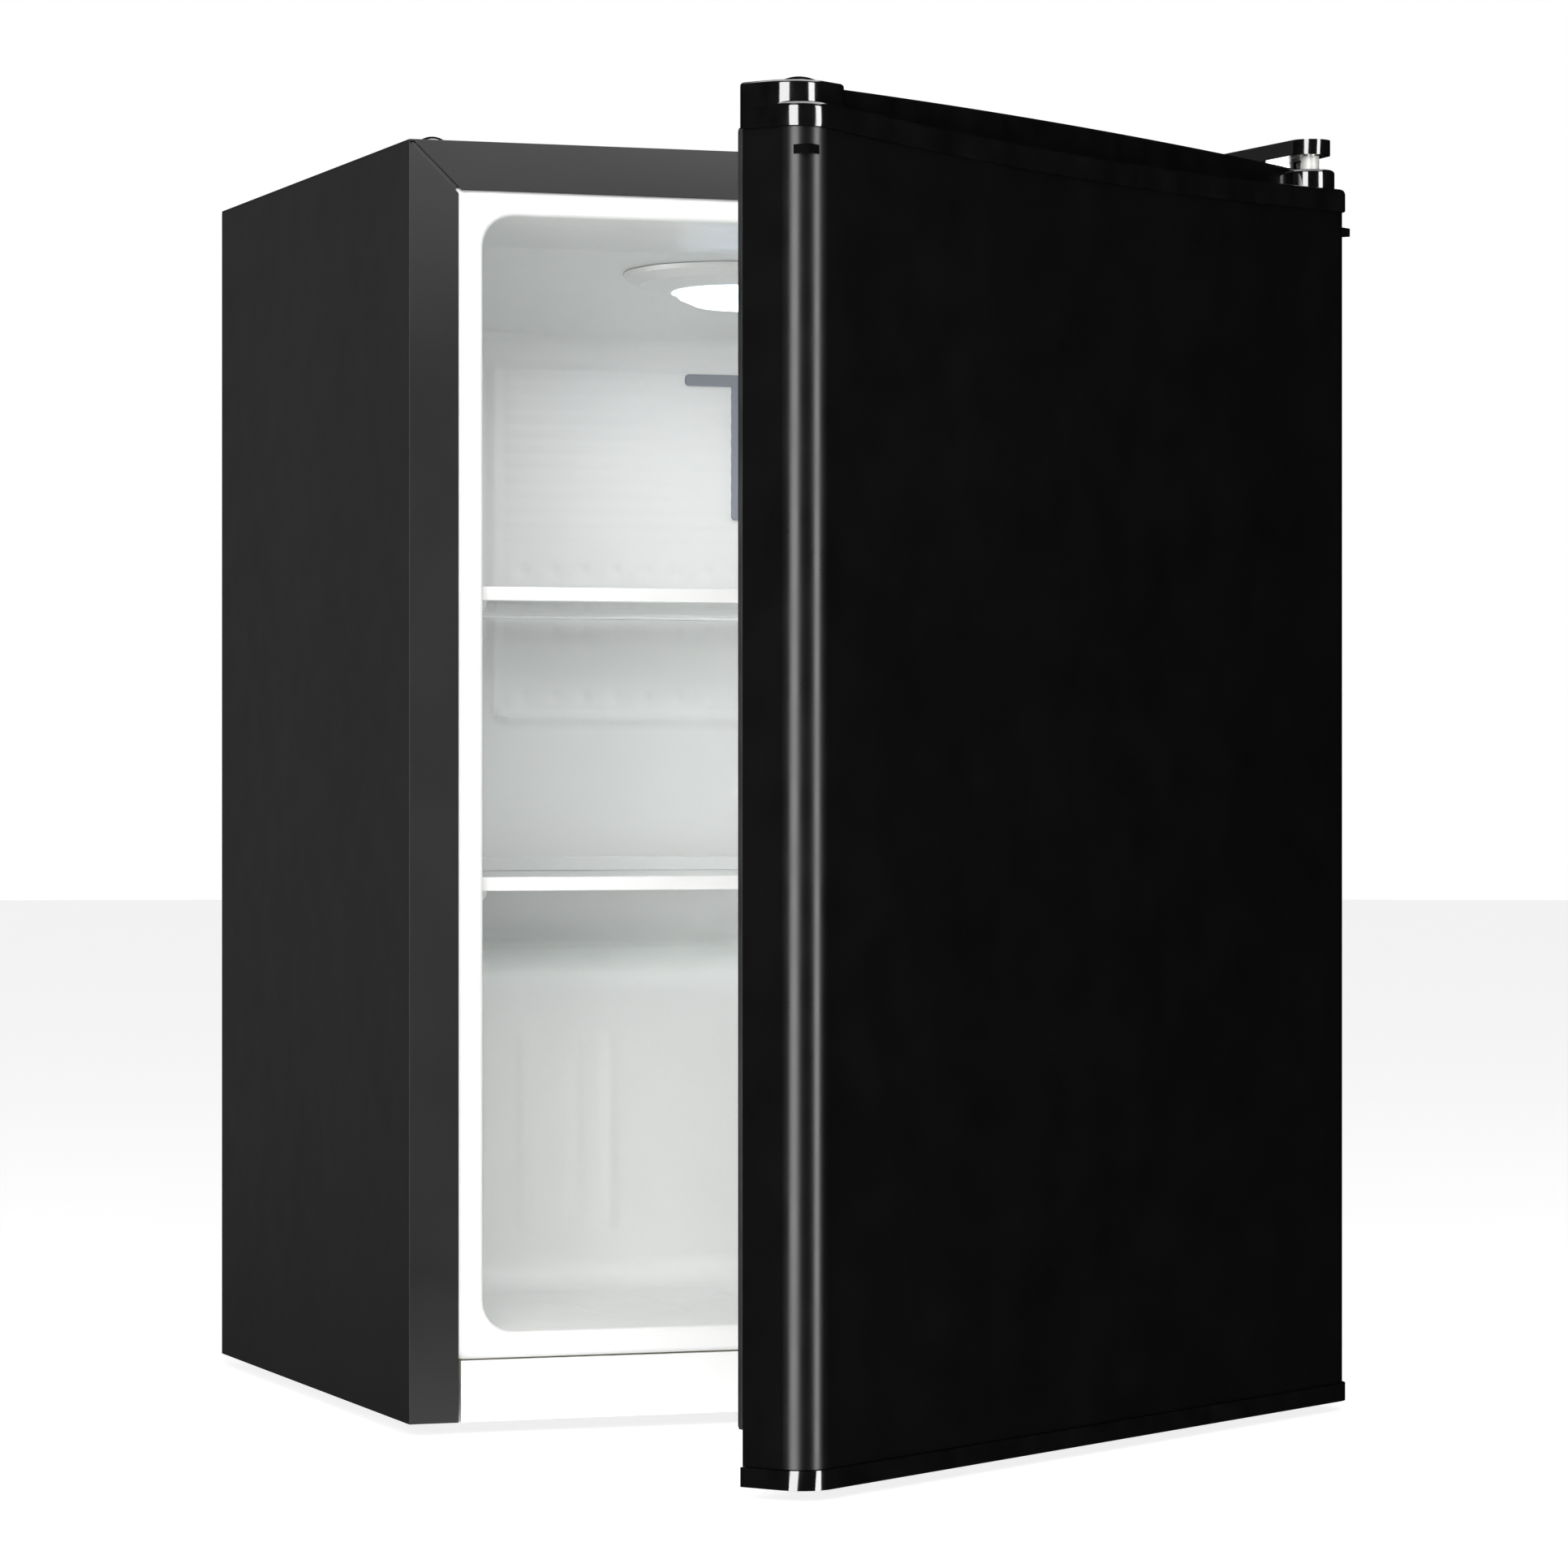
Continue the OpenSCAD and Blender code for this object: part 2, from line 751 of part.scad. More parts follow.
module rear_feet() {
    color("#1a1a1a") place() mirror_sides()
        translate([foot_x, cabinet_d - 44, -foot_h]) rotate_extrude() {
            square([12, foot_h + pan_z - 1]);
            square([10, foot_h + pan_z]);
        }
}

// ---- Compressor bay ----

compressor_y = bay_y + 56;
compressor_z = 12;

module compressor_base_rail() {
    y0 = compressor_y - 48;
    y1 = compressor_y + 48;
    color("#7f8487") place() {
        block(sheet_t + slip, cabinet_w - sheet_t - slip, y0, y1, pan_z, pan_z + 1.5);
        for (y = [y0, y1 - 1.5])
            block(sheet_t + slip, cabinet_w - sheet_t - slip, y, y + 1.5, pan_z, 11);
    }
}

module grommet_spots() {
    for (x = [-62, 62], y = [-34, 34])
        translate([compressor_x + x, compressor_y + y, 0]) children();
}

module compressor_grommets() {
    color("#151515") place() grommet_spots() rotate_extrude() {
        translate([0, pan_z + 1.5]) square([9, compressor_z - pan_z - 1.5]);
        translate([0, compressor_z - 1]) square([5.6, 5]);
        translate([0, compressor_z + 2.6]) square([8, 3]);
    }
}

module compressor() {
    edge = 24;
    r = compressor_r;
    h = compressor_h;
    color("#17181a") place() {
        translate([compressor_x, compressor_y, compressor_z + 2.5]) rotate_extrude() {
            square([r - edge, h]);
            square([r, h - edge]);
            intersection() {
                translate([r - edge, h - edge]) circle(edge);
                square([r, h]);
            }
            translate([0, h / 2 - 3]) square([r + 2.5, 6]);
        }
        difference() {
            block(compressor_x - 74, compressor_x + 74, compressor_y - 45, compressor_y + 45,
                compressor_z, compressor_z + 2.5);
            grommet_spots() translate([0, 0, compressor_z - 1]) cylinder(h = 5, r = 6);
        }
    }
}

module start_relay_cover() {
    left = compressor_x - compressor_r;
    color("#1c1c1c") place() difference() {
        block(left - 32, left + 10, compressor_y - 26, compressor_y + 26, 30, 66);
        rod(compressor_x, compressor_y, 0, 200, compressor_r + slip);
    }
}

module drip_tray() {
    tray_z = compressor_z + 2.5 + compressor_h + hair;
    color("#d9d9d5", 0.9) place() difference() {
        along_z(tray_z, tray_z + 22)
            rrect(compressor_x - 64, compressor_x + 64, compressor_y - 46, compressor_y + 46, 10);
        along_z(tray_z + 2, tray_z + 23)
            rrect(compressor_x - 62, compressor_x + 62, compressor_y - 44, compressor_y + 44, 8);
    }
}

module drain_tube() {
    color("#c9c9c6") place() difference() {
        union() {
            rod(compressor_x, drain_y, 170, ledge_z + 0.8, 5.8);
            rod(compressor_x, drain_y, ledge_z + 0.05, ledge_z + 1, 9);
        }
        rod(compressor_x, drain_y, 160, ledge_z + 5, 4.4);
    }
}

// ---- Condenser and pipework behind the cabinet ----

coil_z0 = bay_z + 25;
coil_z1 = cabinet_h - 60;
coil_x0 = 60;
coil_x1 = cabinet_w - 60;
coil_pitch = (coil_z1 - coil_z0) / (coil_runs - 1);

module condenser_coil() {
    bend = coil_pitch / 2;
    color("#101010") place() {
        for (i = [0 : coil_runs - 1]) translate([coil_x0, coil_y, coil_z0 + i * coil_pitch])
            rotate([0, 90, 0]) cylinder(h = coil_x1 - coil_x0, r = coil_r, $fn = 24);
        for (i = [0 : coil_runs - 2])
            translate([i % 2 == 0 ? coil_x1 : coil_x0, coil_y, coil_z0 + (i + 0.5) * coil_pitch])
                rotate([90, 0, 0]) rotate([0, 0, i % 2 == 0 ? -90 : 90])
                    rotate_extrude(angle = 180, $fn = 48) translate([bend, 0]) circle(coil_r, $fn = 24);
    }
}

module condenser_wires() {
    wire_r = 0.8;
    gap = coil_r + wire_r + 0.05;
    span = coil_x1 - coil_x0 - 20;
    color("#141414") place()
        for (i = [0 : wire_count - 1], side = [-1, 1])
            rod(coil_x0 + 10 + span * (i + (side + 1) / 4) / (wire_count - 0.5),
                coil_y + side * gap, coil_z0 - 8, coil_z1 + 8, wire_r, $fn = 16);
}

module condenser_brackets() {
    arm = coil_y - coil_r - cabinet_d - 2;
    color("#202020") place()
        for (x = [coil_x0 - 14, coil_x1 - 6], z = [coil_z0 + coil_pitch, coil_z1 - coil_pitch]) {
            block(x, x + 20, cabinet_d, cabinet_d + 1.5, z - 12, z + 12);
            block(x + 8, x + 12, cabinet_d + 1.5, cabinet_d + arm, z - 6, z + 6);
        }
}

drier = [120, tube_pass_y, 80];

module filter_drier() {
    color("#b8703f") place() translate(drier) rotate_extrude() {
        square([9, 70]);
        translate([0, -8]) square([3, 86]);
        polygon([[0, -5], [5, -5], [9, 1], [0, 1]]);
        polygon([[0, 69], [9, 69], [5, 75], [0, 75]]);
    }
}

module refrigerant_tubes() {
    tube_r = 2.4;
    thin_r = 1.6;
    bend = 8;
    out_x = compressor_x + compressor_r;
    out_z = 40;
    turn_x = out_x + 40;
    loop_x = coil_x0 - 30;
    loop_z = coil_z0 - 20;
    return_z = 100;
    port_x = compressor_x - sqrt(pow(compressor_r, 2) - pow(tube_pass_y - tube_r - compressor_y, 2)) - slip;
    color("#b0693a") place() {
        tube_path([[out_x + slip, compressor_y, out_z], [turn_x, compressor_y, out_z],
            [turn_x, compressor_y, 150], [turn_x, coil_y, 150], [turn_x, coil_y, loop_z],
            [loop_x, coil_y, loop_z], [loop_x, coil_y, coil_z0], [coil_x0 - slip, coil_y, coil_z0]],
            tube_r, bend);
        tube_path([[drier[0], drier[1], drier[2] + 78 + slip], [drier[0], drier[1], bay_z - 13],
            [tube_pass_x[0], tube_pass_y, bay_z - 13], [tube_pass_x[0], tube_pass_y, tube_end_z]],
            thin_r, bend);
        tube_path([[tube_pass_x[1], tube_pass_y, tube_end_z], [tube_pass_x[1], tube_pass_y, return_z],
            [port_x, tube_pass_y, return_z]], tube_r, bend);
    }
}

module cable_gland() {
    y1 = compressor_y + 48;
    color("#161616") place() difference() {
        union() {
            block(64, 92, y1 - 12, y1 - 1.5 - hair, pan_z + 1.5, 26);
            translate([78, y1 + 4, 18]) rotate([90, 0, 0]) cylinder(h = 12, r = 7);
        }
        translate([78, y1 + 6, 18]) rotate([90, 0, 0]) cylinder(h = 30, r = 3.6);
        block(60, 96, y1 - 1.6, y1 + hair, 0, 11.2);
    }
}

// ---- Door, drawn closed and then swung open ----

module door_outline(inset) {
    front_round(inset, cabinet_w - inset, door_front + inset, door_back - inset, door_r - inset);
}

module door_skin() {
    color("#0d0d0d") door_place() difference() {
        along_z(skin_foot_z, skin_top_z) door_outline(0);
        along_z(0, cabinet_h) door_outline(skin_t);
        along_z(0, cabinet_h) rect(8, cabinet_w - 8, door_back - 2, door_back + 1);
    }
}

module dyke_ring(inset) {
    rrect(dyke_u + inset, cabinet_w - dyke_u - inset, dyke_foot_z + inset, dyke_top_z - inset, 12 - inset);
}

module recess_outline(grow) {
    edge = dyke_u + dyke_w;
    rrect(edge - grow, cabinet_w - edge + grow, dyke_foot_z + dyke_w - grow,
        dyke_top_z - dyke_w + grow, 4 + grow);
}

module rack_lugs(z) {
    edge = dyke_u + dyke_w;
    for (x = [edge - hair, cabinet_w - edge - 3.2])
        block(x, x + 3.2 + hair, -13, -3, z + 22, z + 30);
}

module door_liner() {
    t = door_liner_t;
    back = door_back - skin_t;
    color("#f0f0ee") door_place() {
        difference() {
            union() {
                along_y(back - t, back)
                    rect(skin_t + slip, cabinet_w - skin_t - slip, 13, cap_plug_z - slip);
                along_y(back - t, dyke_rise) dyke_ring(0);
                along_y(recess_floor - t, back) recess_outline(t);
            }
            along_y(recess_floor, dyke_rise + 1) recess_outline(0);
            along_y(recess_floor - t - 1, dyke_rise - t) difference() {
                dyke_ring(t);
                recess_outline(t);
            }
        }
        rack_lugs(bottom_rack_z);
        rack_lugs(middle_rack_z);
        rack_lugs(top_rack_z);
    }
}

module door_foam() {
    back = door_back - skin_t - door_liner_t - slip;
    color("#e8dfa8") door_place() difference() {
        union() {
            along_z(13, cap_plug_z - slip) intersection() {
                door_outline(skin_t + slip);
                rect(0, cabinet_w, -far, back);
            }
            along_y(back - 1, dyke_rise - door_liner_t - slip) dyke_ring(door_liner_t + slip);
        }
        along_y(recess_floor - door_liner_t - slip, dyke_rise + 1)
            recess_outline(door_liner_t + slip);
        rod(pin_x, pin_y, 0, 24, 9.5);
    }
}

gasket_left = 8.5;
gasket_right = cabinet_w - pin_inset - 0.5;
gasket_w = 18;
gasket_r = 14;
gasket_foot_z = 22;
gasket_top_z = skin_top_z;

module gasket_ring(inset) {
    rrect(gasket_left + inset, gasket_right - inset, gasket_foot_z + inset, gasket_top_z - inset,
        gasket_r - inset / 2);
}

module door_gasket() {
    back = door_back - skin_t;
    color("#1c1c1c") door_place() difference() {
        along_y(back, -0.4) difference() {
            gasket_ring(0);
            gasket_ring(gasket_w);
        }
        along_y(-7.6, -2.2) difference() {
            gasket_ring(3.5);
            gasket_ring(gasket_w - 3.5);
        }
    }
}

module gasket_magnets() {
    inset = 5;
    wide = 8;
    color("#3a3a3a") door_place() {
        for (u = [gasket_left + inset, gasket_right - inset - wide])
            block(u, u + wide, -7, -2.8, gasket_foot_z + 20, gasket_top_z - 20);
        for (z = [gasket_foot_z + inset, gasket_top_z - inset - wide])
            block(gasket_left + 20, gasket_right - 20, -7, -2.8, z, z + wide);
    }
}

module cap_outline() {
    front_round(-cap_over, cabinet_w + cap_over, cap_front, door_back, cap_r);
}

// Disc whose lowest point is at height z on the middle of the door
module sag_disc(z) {
    translate([cabinet_w / 2, z + sag_r]) circle(sag_r, $fn = 720);
}

// Plan of the cap above its lip: set-back end blocks, hinge boss and rear wall
module cap_top_plan() {
    intersection() {
        front_round(-cap_over, cabinet_w + cap_over, block_front, 0, block_r);
        union() {
            front_round(-far, cap_block, block_front, 0, block_inner_r);
            rect(pin_x, far, -far, 0);
            translate([pin_x, pin_y]) circle(boss_r);
            rect(-far, far, grip_back, 0);
        }
    }
}

// Plan of the grip between the end blocks
module grip_plan(front, back) {
    difference() {
        rect(cap_block, pin_x, front, back);
        translate([pin_x, pin_y]) circle(boss_r);
    }
}

module door_top_cap() {
    bush_r = 4.4;
    plug_r = 4.4;
    color("#080808") door_place() difference() {
        union() {
            intersection() {
                along_z(cap_plug_z, cap_top_z + arch_h) cap_outline();
                along_y(-far, 0) sag_disc(lip_mid_z - lip_h);
            }
            along_z(cap_plug_z, skin_top_z + 2) door_outline(skin_t + 0.2);
        }
        along_z(0, skin_top_z + 0.2) difference() {
            door_outline(-0.2);
            door_outline(skin_t + 0.2);
        }
        intersection() {
            along_z(0, far) grip_plan(cap_front - 1, grip_back);
            along_y(-far, 0) sag_disc(lip_mid_z);
        }
        along_z(grip_floor_z, far) grip_plan(lip_back, grip_back);
        difference() {
            block(cap_block, pin_x, grip_back - 1, 0, cap_top_z - 5, far);
            along_y(-far, 0) translate([cabinet_w / 2, cap_top_z + arch_h - arch_r])
                circle(arch_r, $fn = 720);
            along_z(0, cap_top_z) translate([pin_x, pin_y]) circle(boss_r);
        }
        block(-10, cap_block, -far, 0, cap_top_z, far);
        block(pin_x - boss_r, cabinet_w + 10, -far, 0, cap_top_z, far);
        block(cap_block, cap_block + slot_w, grip_back - 1, 0, lip_mid_z, far);
        along_z(cap_step_z, far) difference() {
            rect(-10, cabinet_w + 10, -far, 0);
            cap_top_plan();
        }
        block(8.2, gasket_right + slip, door_back - 1.2, 0, 0, gasket_top_z + slip);
        rod(pin_x, pin_y, cabinet_h - 17, far, bush_r + 0.02);
        rod(cabinet_w - pin_x + 3, pin_y - 1, cabinet_h - 12, far, plug_r + 0.02);
    }
}

module door_top_plug() {
    color("#0a0a0a") door_place() translate([cabinet_w - pin_x + 3, pin_y - 1, cap_top_z]) {
        rotate_extrude() intersection() {
            translate([0, -14.4]) circle(17);
            square([9, 4]);
        }
        translate([0, 0, -8]) cylinder(h = 8.5, r = 4.4);
    }
}

module door_bottom_cap() {
    color("#080808") door_place() difference() {
        union() {
            along_z(cap_foot_z, skin_foot_z - hair) cap_outline();
            along_z(skin_foot_z - 1, 12.5) door_outline(skin_t + 0.2);
            rod(pin_x, pin_y, 5, 21, 9);
        }
        block(cabinet_w - 26, cabinet_w + 5, cap_front + 4, 0, -2, pan_z + 0.4);
        rod(pin_x, pin_y, -5, 19, 5.02);
        block(40, cabinet_w - 40, door_front + 8, door_back - 6, cap_foot_z - 1, 3);
    }
}

module hinge_bushes() {
    color("#d0d0cc") door_place() {
        difference() {
            rod(pin_x, pin_y, cabinet_h - 16, cabinet_h + 5.2, 4.4);
            rod(pin_x, pin_y, cabinet_h - 15, cabinet_h + 6, pin_r + run_gap);
        }
        difference() {
            rod(pin_x, pin_y, pan_z + 0.6, 19, 5);
            rod(pin_x, pin_y, 0, 18.5, pin_r + run_gap);
        }
    }
}

// Open tray that hangs on the lugs of the door liner
module rack_plan(inset) {
    back_round(rack_side + inset, cabinet_w - rack_side - inset, rack_back + inset,
        rack_front - inset, rack_r - inset);
}

module rack(z) {
    door_place() difference() {
        along_z(z, z + rack_h) rack_plan(0);
        along_z(z + rack_t, z + rack_h + 1) rack_plan(rack_t);
        block(rack_side + 12, cabinet_w - rack_side - 12, rack_back - 1, rack_back + rack_t + 1,
            z + 18, z + rack_h + 1);
        for (u = [rack_side - 1, cabinet_w - rack_side - rack_t - 1])
            block(u, u + rack_t + 2, -15, -1, z - 1, z + 30.2);
    }
}

module door_rack_top() {
    color("#eef0f0", 0.8) rack(top_rack_z);
}
module door_rack_middle() {
    color("#eef0f0", 0.8) rack(middle_rack_z);
}
module door_rack_bottom() {
    color("#eef0f0", 0.8) rack(bottom_rack_z);
}

side_panel_left();
side_panel_right();
top_panel();
back_panel();
bay_panel();
base_pan();
inner_liner();
cabinet_foam();
kick_plate();
corner_gussets();
hinge_hole_plug();
upper_hinge_bracket();
upper_hinge_pin();
upper_hinge_cover();
lower_hinge_bracket();
lower_hinge_pin();
hinge_screws();
upper_shelf_glass();
upper_shelf_trim();
lower_shelf_glass();
lower_shelf_trim();
lamp_housing();
lamp_lens();
led_board();
sensor_bracket();
thermostat_housing();
thermostat_knob();
door_switch_housing();
door_switch_plunger();
drain_tube();
drip_tray();
compressor();
compressor_grommets();
compressor_base_rail();
start_relay_cover();
condenser_coil();
condenser_wires();
condenser_brackets();
filter_drier();
refrigerant_tubes();
evaporator_plate();
cable_gland();
rear_feet();
foot_pad_left();
foot_pad_right();
foot_screw_left();
foot_screw_right();
door_skin();
door_liner();
door_foam();
door_gasket();
gasket_magnets();
door_top_cap();
door_bottom_cap();
door_top_plug();
hinge_bushes();
door_rack_top();
door_rack_middle();
door_rack_bottom();
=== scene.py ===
"""Looks for a table-top refrigerator with its door ajar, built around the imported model.

Pieces are drawn in millimetres: in cabinet coordinates (x from the left side, y back from
the front plane, z up from the steel edge) or in door coordinates, the same with the door shut.
"""
import json
import math

import bmesh
import bpy
from mathutils import Matrix, Vector


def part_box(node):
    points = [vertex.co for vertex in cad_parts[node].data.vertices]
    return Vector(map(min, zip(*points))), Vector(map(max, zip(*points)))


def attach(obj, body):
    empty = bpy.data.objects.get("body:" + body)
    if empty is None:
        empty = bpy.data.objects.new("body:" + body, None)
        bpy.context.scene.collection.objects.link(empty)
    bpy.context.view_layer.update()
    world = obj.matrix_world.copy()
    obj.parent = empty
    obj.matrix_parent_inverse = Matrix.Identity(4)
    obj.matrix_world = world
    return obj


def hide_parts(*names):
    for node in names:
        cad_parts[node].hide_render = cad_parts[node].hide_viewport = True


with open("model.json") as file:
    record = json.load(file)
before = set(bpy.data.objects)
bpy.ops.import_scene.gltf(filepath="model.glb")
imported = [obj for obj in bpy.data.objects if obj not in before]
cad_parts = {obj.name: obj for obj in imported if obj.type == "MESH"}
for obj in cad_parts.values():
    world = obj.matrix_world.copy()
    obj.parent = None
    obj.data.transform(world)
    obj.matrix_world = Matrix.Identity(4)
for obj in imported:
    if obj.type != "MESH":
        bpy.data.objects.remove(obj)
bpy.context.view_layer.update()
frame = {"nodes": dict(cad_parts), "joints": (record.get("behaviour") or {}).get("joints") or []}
nodes = frame["nodes"]
joints = {j["name"]: j for j in frame["joints"]}
NODE_SLOT = {name: node.data.materials[0].name for name, node in nodes.items()}
for plain in list(bpy.data.materials):
    bpy.data.materials.remove(plain)

# ---- Places taken from the frame ----

MM = 0.001
cabinet_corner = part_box("side_panel_left")[0]
cabinet_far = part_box("side_panel_right")[1]
steel_edge_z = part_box("side_panel_left")[0].z
width = round((cabinet_far.x - cabinet_corner.x) / MM)
height = round((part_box("top_panel")[1].z - steel_edge_z) / MM)
cabinet_origin = (cabinet_corner.x, cabinet_corner.y, steel_edge_z)
CABINET = Matrix.Translation(cabinet_origin) @ Matrix.Scale(MM, 4)

pin_low, pin_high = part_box("upper_hinge_pin")
pin = (pin_low + pin_high) / 2
door_angle = -math.radians(joints["door_hinge"]["range_deg"][0])
to_pin = Matrix.Translation((pin.x, pin.y, 0))
DOOR = to_pin @ Matrix.Rotation(door_angle, 4, "Z") @ to_pin.inverted() @ CABINET


# ---- Camera ----

CAMERA_SPOT = CABINET @ Vector((-736, -2596, 297))
CAMERA_YAW = math.radians(-19.6)


def make_camera():
    data = bpy.data.cameras.new("camera")
    data.sensor_width = 36
    data.lens = 132.5
    data.shift_x = -0.0036
    data.shift_y = 0.0026
    data.clip_start = 0.1
    data.clip_end = 60
    camera = bpy.data.objects.new("camera", data)
    camera.location = CAMERA_SPOT
    camera.rotation_euler = (math.radians(90), 0, CAMERA_YAW)
    bpy.context.scene.collection.objects.link(camera)
    bpy.context.scene.camera = camera


make_camera()

# ---- Node materials ----


class Nodes:
    """A new node material with a few short ways to add nodes."""

    def __init__(self, name):
        self.material = bpy.data.materials.new(name)
        self.material.use_nodes = True
        self.tree = self.material.node_tree
        self.shader = self.tree.nodes["Principled BSDF"]
        self.place = self.add("ShaderNodeTexCoord").outputs["Object"]

    def add(self, kind, **settings):
        node = self.tree.nodes.new(kind)
        for key, value in settings.items():
            setattr(node, key, value)
        return node

    def link(self, a, b):
        self.tree.links.new(a, b)

    def noise(self, scale, detail=2.0, stretch=(1, 1, 1), distortion=0.0):
        where = self.add("ShaderNodeMapping")
        where.inputs["Scale"].default_value = stretch
        self.link(self.place, where.inputs["Vector"])
        node = self.add("ShaderNodeTexNoise")
        node.inputs["Scale"].default_value = scale
        node.inputs["Detail"].default_value = detail
        node.inputs["Distortion"].default_value = distortion
        self.link(where.outputs[0], node.inputs["Vector"])
        return node.outputs["Fac"]

    def spots(self, scale):
        node = self.add("ShaderNodeTexVoronoi")
        node.inputs["Scale"].default_value = scale
        self.link(self.place, node.inputs["Vector"])
        return node.outputs["Distance"]

    def spread(self, value, low, high, start=0.3, stop=0.7):
        """Value between start and stop becomes low to high."""
        node = self.add("ShaderNodeMapRange")
        node.inputs["From Min"].default_value = start
        node.inputs["From Max"].default_value = stop
        node.inputs["To Min"].default_value = low
        node.inputs["To Max"].default_value = high
        self.link(value, node.inputs["Value"])
        return node.outputs["Result"]

    def ramp(self, value, *stops):
        node = self.add("ShaderNodeValToRGB")
        ramp = node.color_ramp
        while len(ramp.elements) < len(stops):
            ramp.elements.new(0.5)
        for element, (spot, colour) in zip(ramp.elements, stops):
            element.position = spot
            element.color = (*colour, 1)
        self.link(value, node.inputs["Fac"])
        return node.outputs["Color"]

    def colour(self, value, *stops):
        self.link(self.ramp(value, *stops), self.shader.inputs["Base Color"])

    def rough(self, value):
        self.link(value, self.shader.inputs["Roughness"])

    def bump(self, *layers):
        """Layers of (height output, depth in metres) that stack into the shader's normal."""
        last = None
        for value, deep in layers:
            node = self.add("ShaderNodeBump")
            node.inputs["Distance"].default_value = deep
            node.inputs["Strength"].default_value = 1
            self.link(value, node.inputs["Height"])
            if last:
                self.link(last, node.inputs["Normal"])
            last = node.outputs["Normal"]
        self.link(last, self.shader.inputs["Normal"])

    def set(self, **values):
        for key, value in values.items():
            self.shader.inputs[key.replace("_", " ")].default_value = value
        return self.material


def grey(v, tint=(1, 1, 1)):
    return tuple(v * t for t in tint)


def painted_steel(name, dark, light, low, high, specular):
    """Roller-coated sheet: faint orange peel and a slow drift in gloss."""
    m = Nodes(name)
    m.colour(m.noise(9, 4), (0.3, grey(dark)), (0.7, grey(light)))
    m.rough(m.spread(m.noise(35, 5), low, high))
    m.bump((m.noise(650, 2), 0.000008), (m.noise(4, 1), 0.00002))
    return m.set(Specular_IOR_Level=specular)


def gloss_plastic(name, dark, light):
    """Polished moulding: slow ripple in the surface, hairline wear and dust in the gloss."""
    m = Nodes(name)
    m.colour(m.noise(60, 3), (0.35, grey(dark)), (0.75, grey(light)))
    m.rough(m.spread(m.noise(260, 6, (1, 1, 0.2)), 0.06, 0.16))
    m.bump((m.noise(38, 1), 0.00004), (m.noise(900, 2), 0.0000015))
    return m.set(Specular_IOR_Level=0.62)


def white_plastic(name, shade, tint, low=0.3, high=0.44, peel=0.000006):
    """Vacuum-formed or moulded polystyrene: soft sheen, faint mottling and orange peel."""
    m = Nodes(name)
    m.colour(m.noise(7, 5, distortion=0.4), (0.2, grey(shade * 0.985, tint)),
        (0.8, grey(shade, tint)))
    m.rough(m.spread(m.noise(50, 4), low, high))
    m.bump((m.noise(420, 2), peel), (m.noise(22, 1), 0.00003))
    return m.set(Specular_IOR_Level=0.45)


def grained_plastic(name, dark, light, low=0.45, high=0.62, scale=1100, deep=0.00003):
    """Spark-eroded mould grain."""
    m = Nodes(name)
    m.colour(m.noise(40, 4), (0.3, dark), (0.7, light))
    m.rough(m.spread(m.noise(90, 3), low, high))
    m.bump((m.spots(scale), deep), (m.noise(scale * 2, 2), deep / 3))
    return m.set(Specular_IOR_Level=0.4)


def sheet_metal(name, dark, light, low, high, spangle=55):
    """Zinc-coated sheet with its crystal spangle and rolling lines."""
    m = Nodes(name)
    cells = m.add("ShaderNodeTexVoronoi")
    cells.inputs["Scale"].default_value = spangle
    m.link(m.place, cells.inputs["Vector"])
    shade = m.add("ShaderNodeSeparateColor")
    m.link(cells.outputs["Color"], shade.inputs["Color"])
    m.colour(shade.outputs[0], (0.1, dark), (0.9, light))
    m.rough(m.spread(shade.outputs[1], low, high, 0, 1))
    m.bump((m.noise(300, 3, (0.05, 1, 1)), 0.000008))
    return m.set(Metallic=1.0)


def bare_metal(name, dark, light, low, high, stretch=(1, 1, 8)):
    """Drawn or turned metal with fine lines and slight tarnish."""
    m = Nodes(name)
    m.colour(m.noise(45, 6), (0.3, dark), (0.7, light))
    m.rough(m.spread(m.noise(160, 5, stretch), low, high))
    m.bump((m.noise(900, 2, stretch), 0.000006))
    return m.set(Metallic=1.0)


def enamel(name, dark, light, low, high, peel=0.00005):
    """Thick sprayed or dipped black enamel with runs and dust."""
    m = Nodes(name)
    dust = m.noise(26, 6, distortion=0.6)
    m.colour(dust, (0.45, grey(dark)), (0.85, grey(light, (1.05, 1, 0.93))))
    m.rough(m.spread(dust, low, high))
    m.bump((m.noise(420, 2), peel), (m.noise(60, 2, (1, 1, 0.3)), 0.0001))
    return m.set(Specular_IOR_Level=0.5)


def soft_rubber(name, shade):
    m = Nodes(name)
    bloom = m.noise(70, 5, (1, 1, 0.4))
    m.colour(bloom, (0.35, grey(shade)), (0.8, grey(shade * 1.7)))
    m.rough(m.spread(bloom, 0.5, 0.72))
    m.bump((m.noise(1300, 2), 0.00001), (m.noise(120, 2), 0.00004))
    return m.set(Specular_IOR_Level=0.35)


def foam(name):
    """Rigid yellow insulation foam: open bubbles and darker skin."""
    m = Nodes(name)
    m.colour(m.noise(60, 6), (0.3, (0.62, 0.5, 0.24)), (0.7, (0.8, 0.7, 0.42)))
    m.rough(m.spread(m.noise(200, 4), 0.8, 0.95))
    m.bump((m.spots(900), 0.0002), (m.noise(150, 4), 0.0002))
    return m.set(Specular_IOR_Level=0.2)


def clear_plastic(name, tint):
    """Clear polystyrene with moulding streaks and rubbed patches."""
    m = Nodes(name)
    m.colour(m.noise(14, 4), (0.3, grey(0.93, tint)), (0.7, grey(0.99, tint)))
    m.rough(m.spread(m.noise(70, 5, (1, 1, 0.3)), 0.03, 0.12))
    m.bump((m.noise(45, 2), 0.00005))
    return m.set(Transmission_Weight=0.92, IOR=1.5)


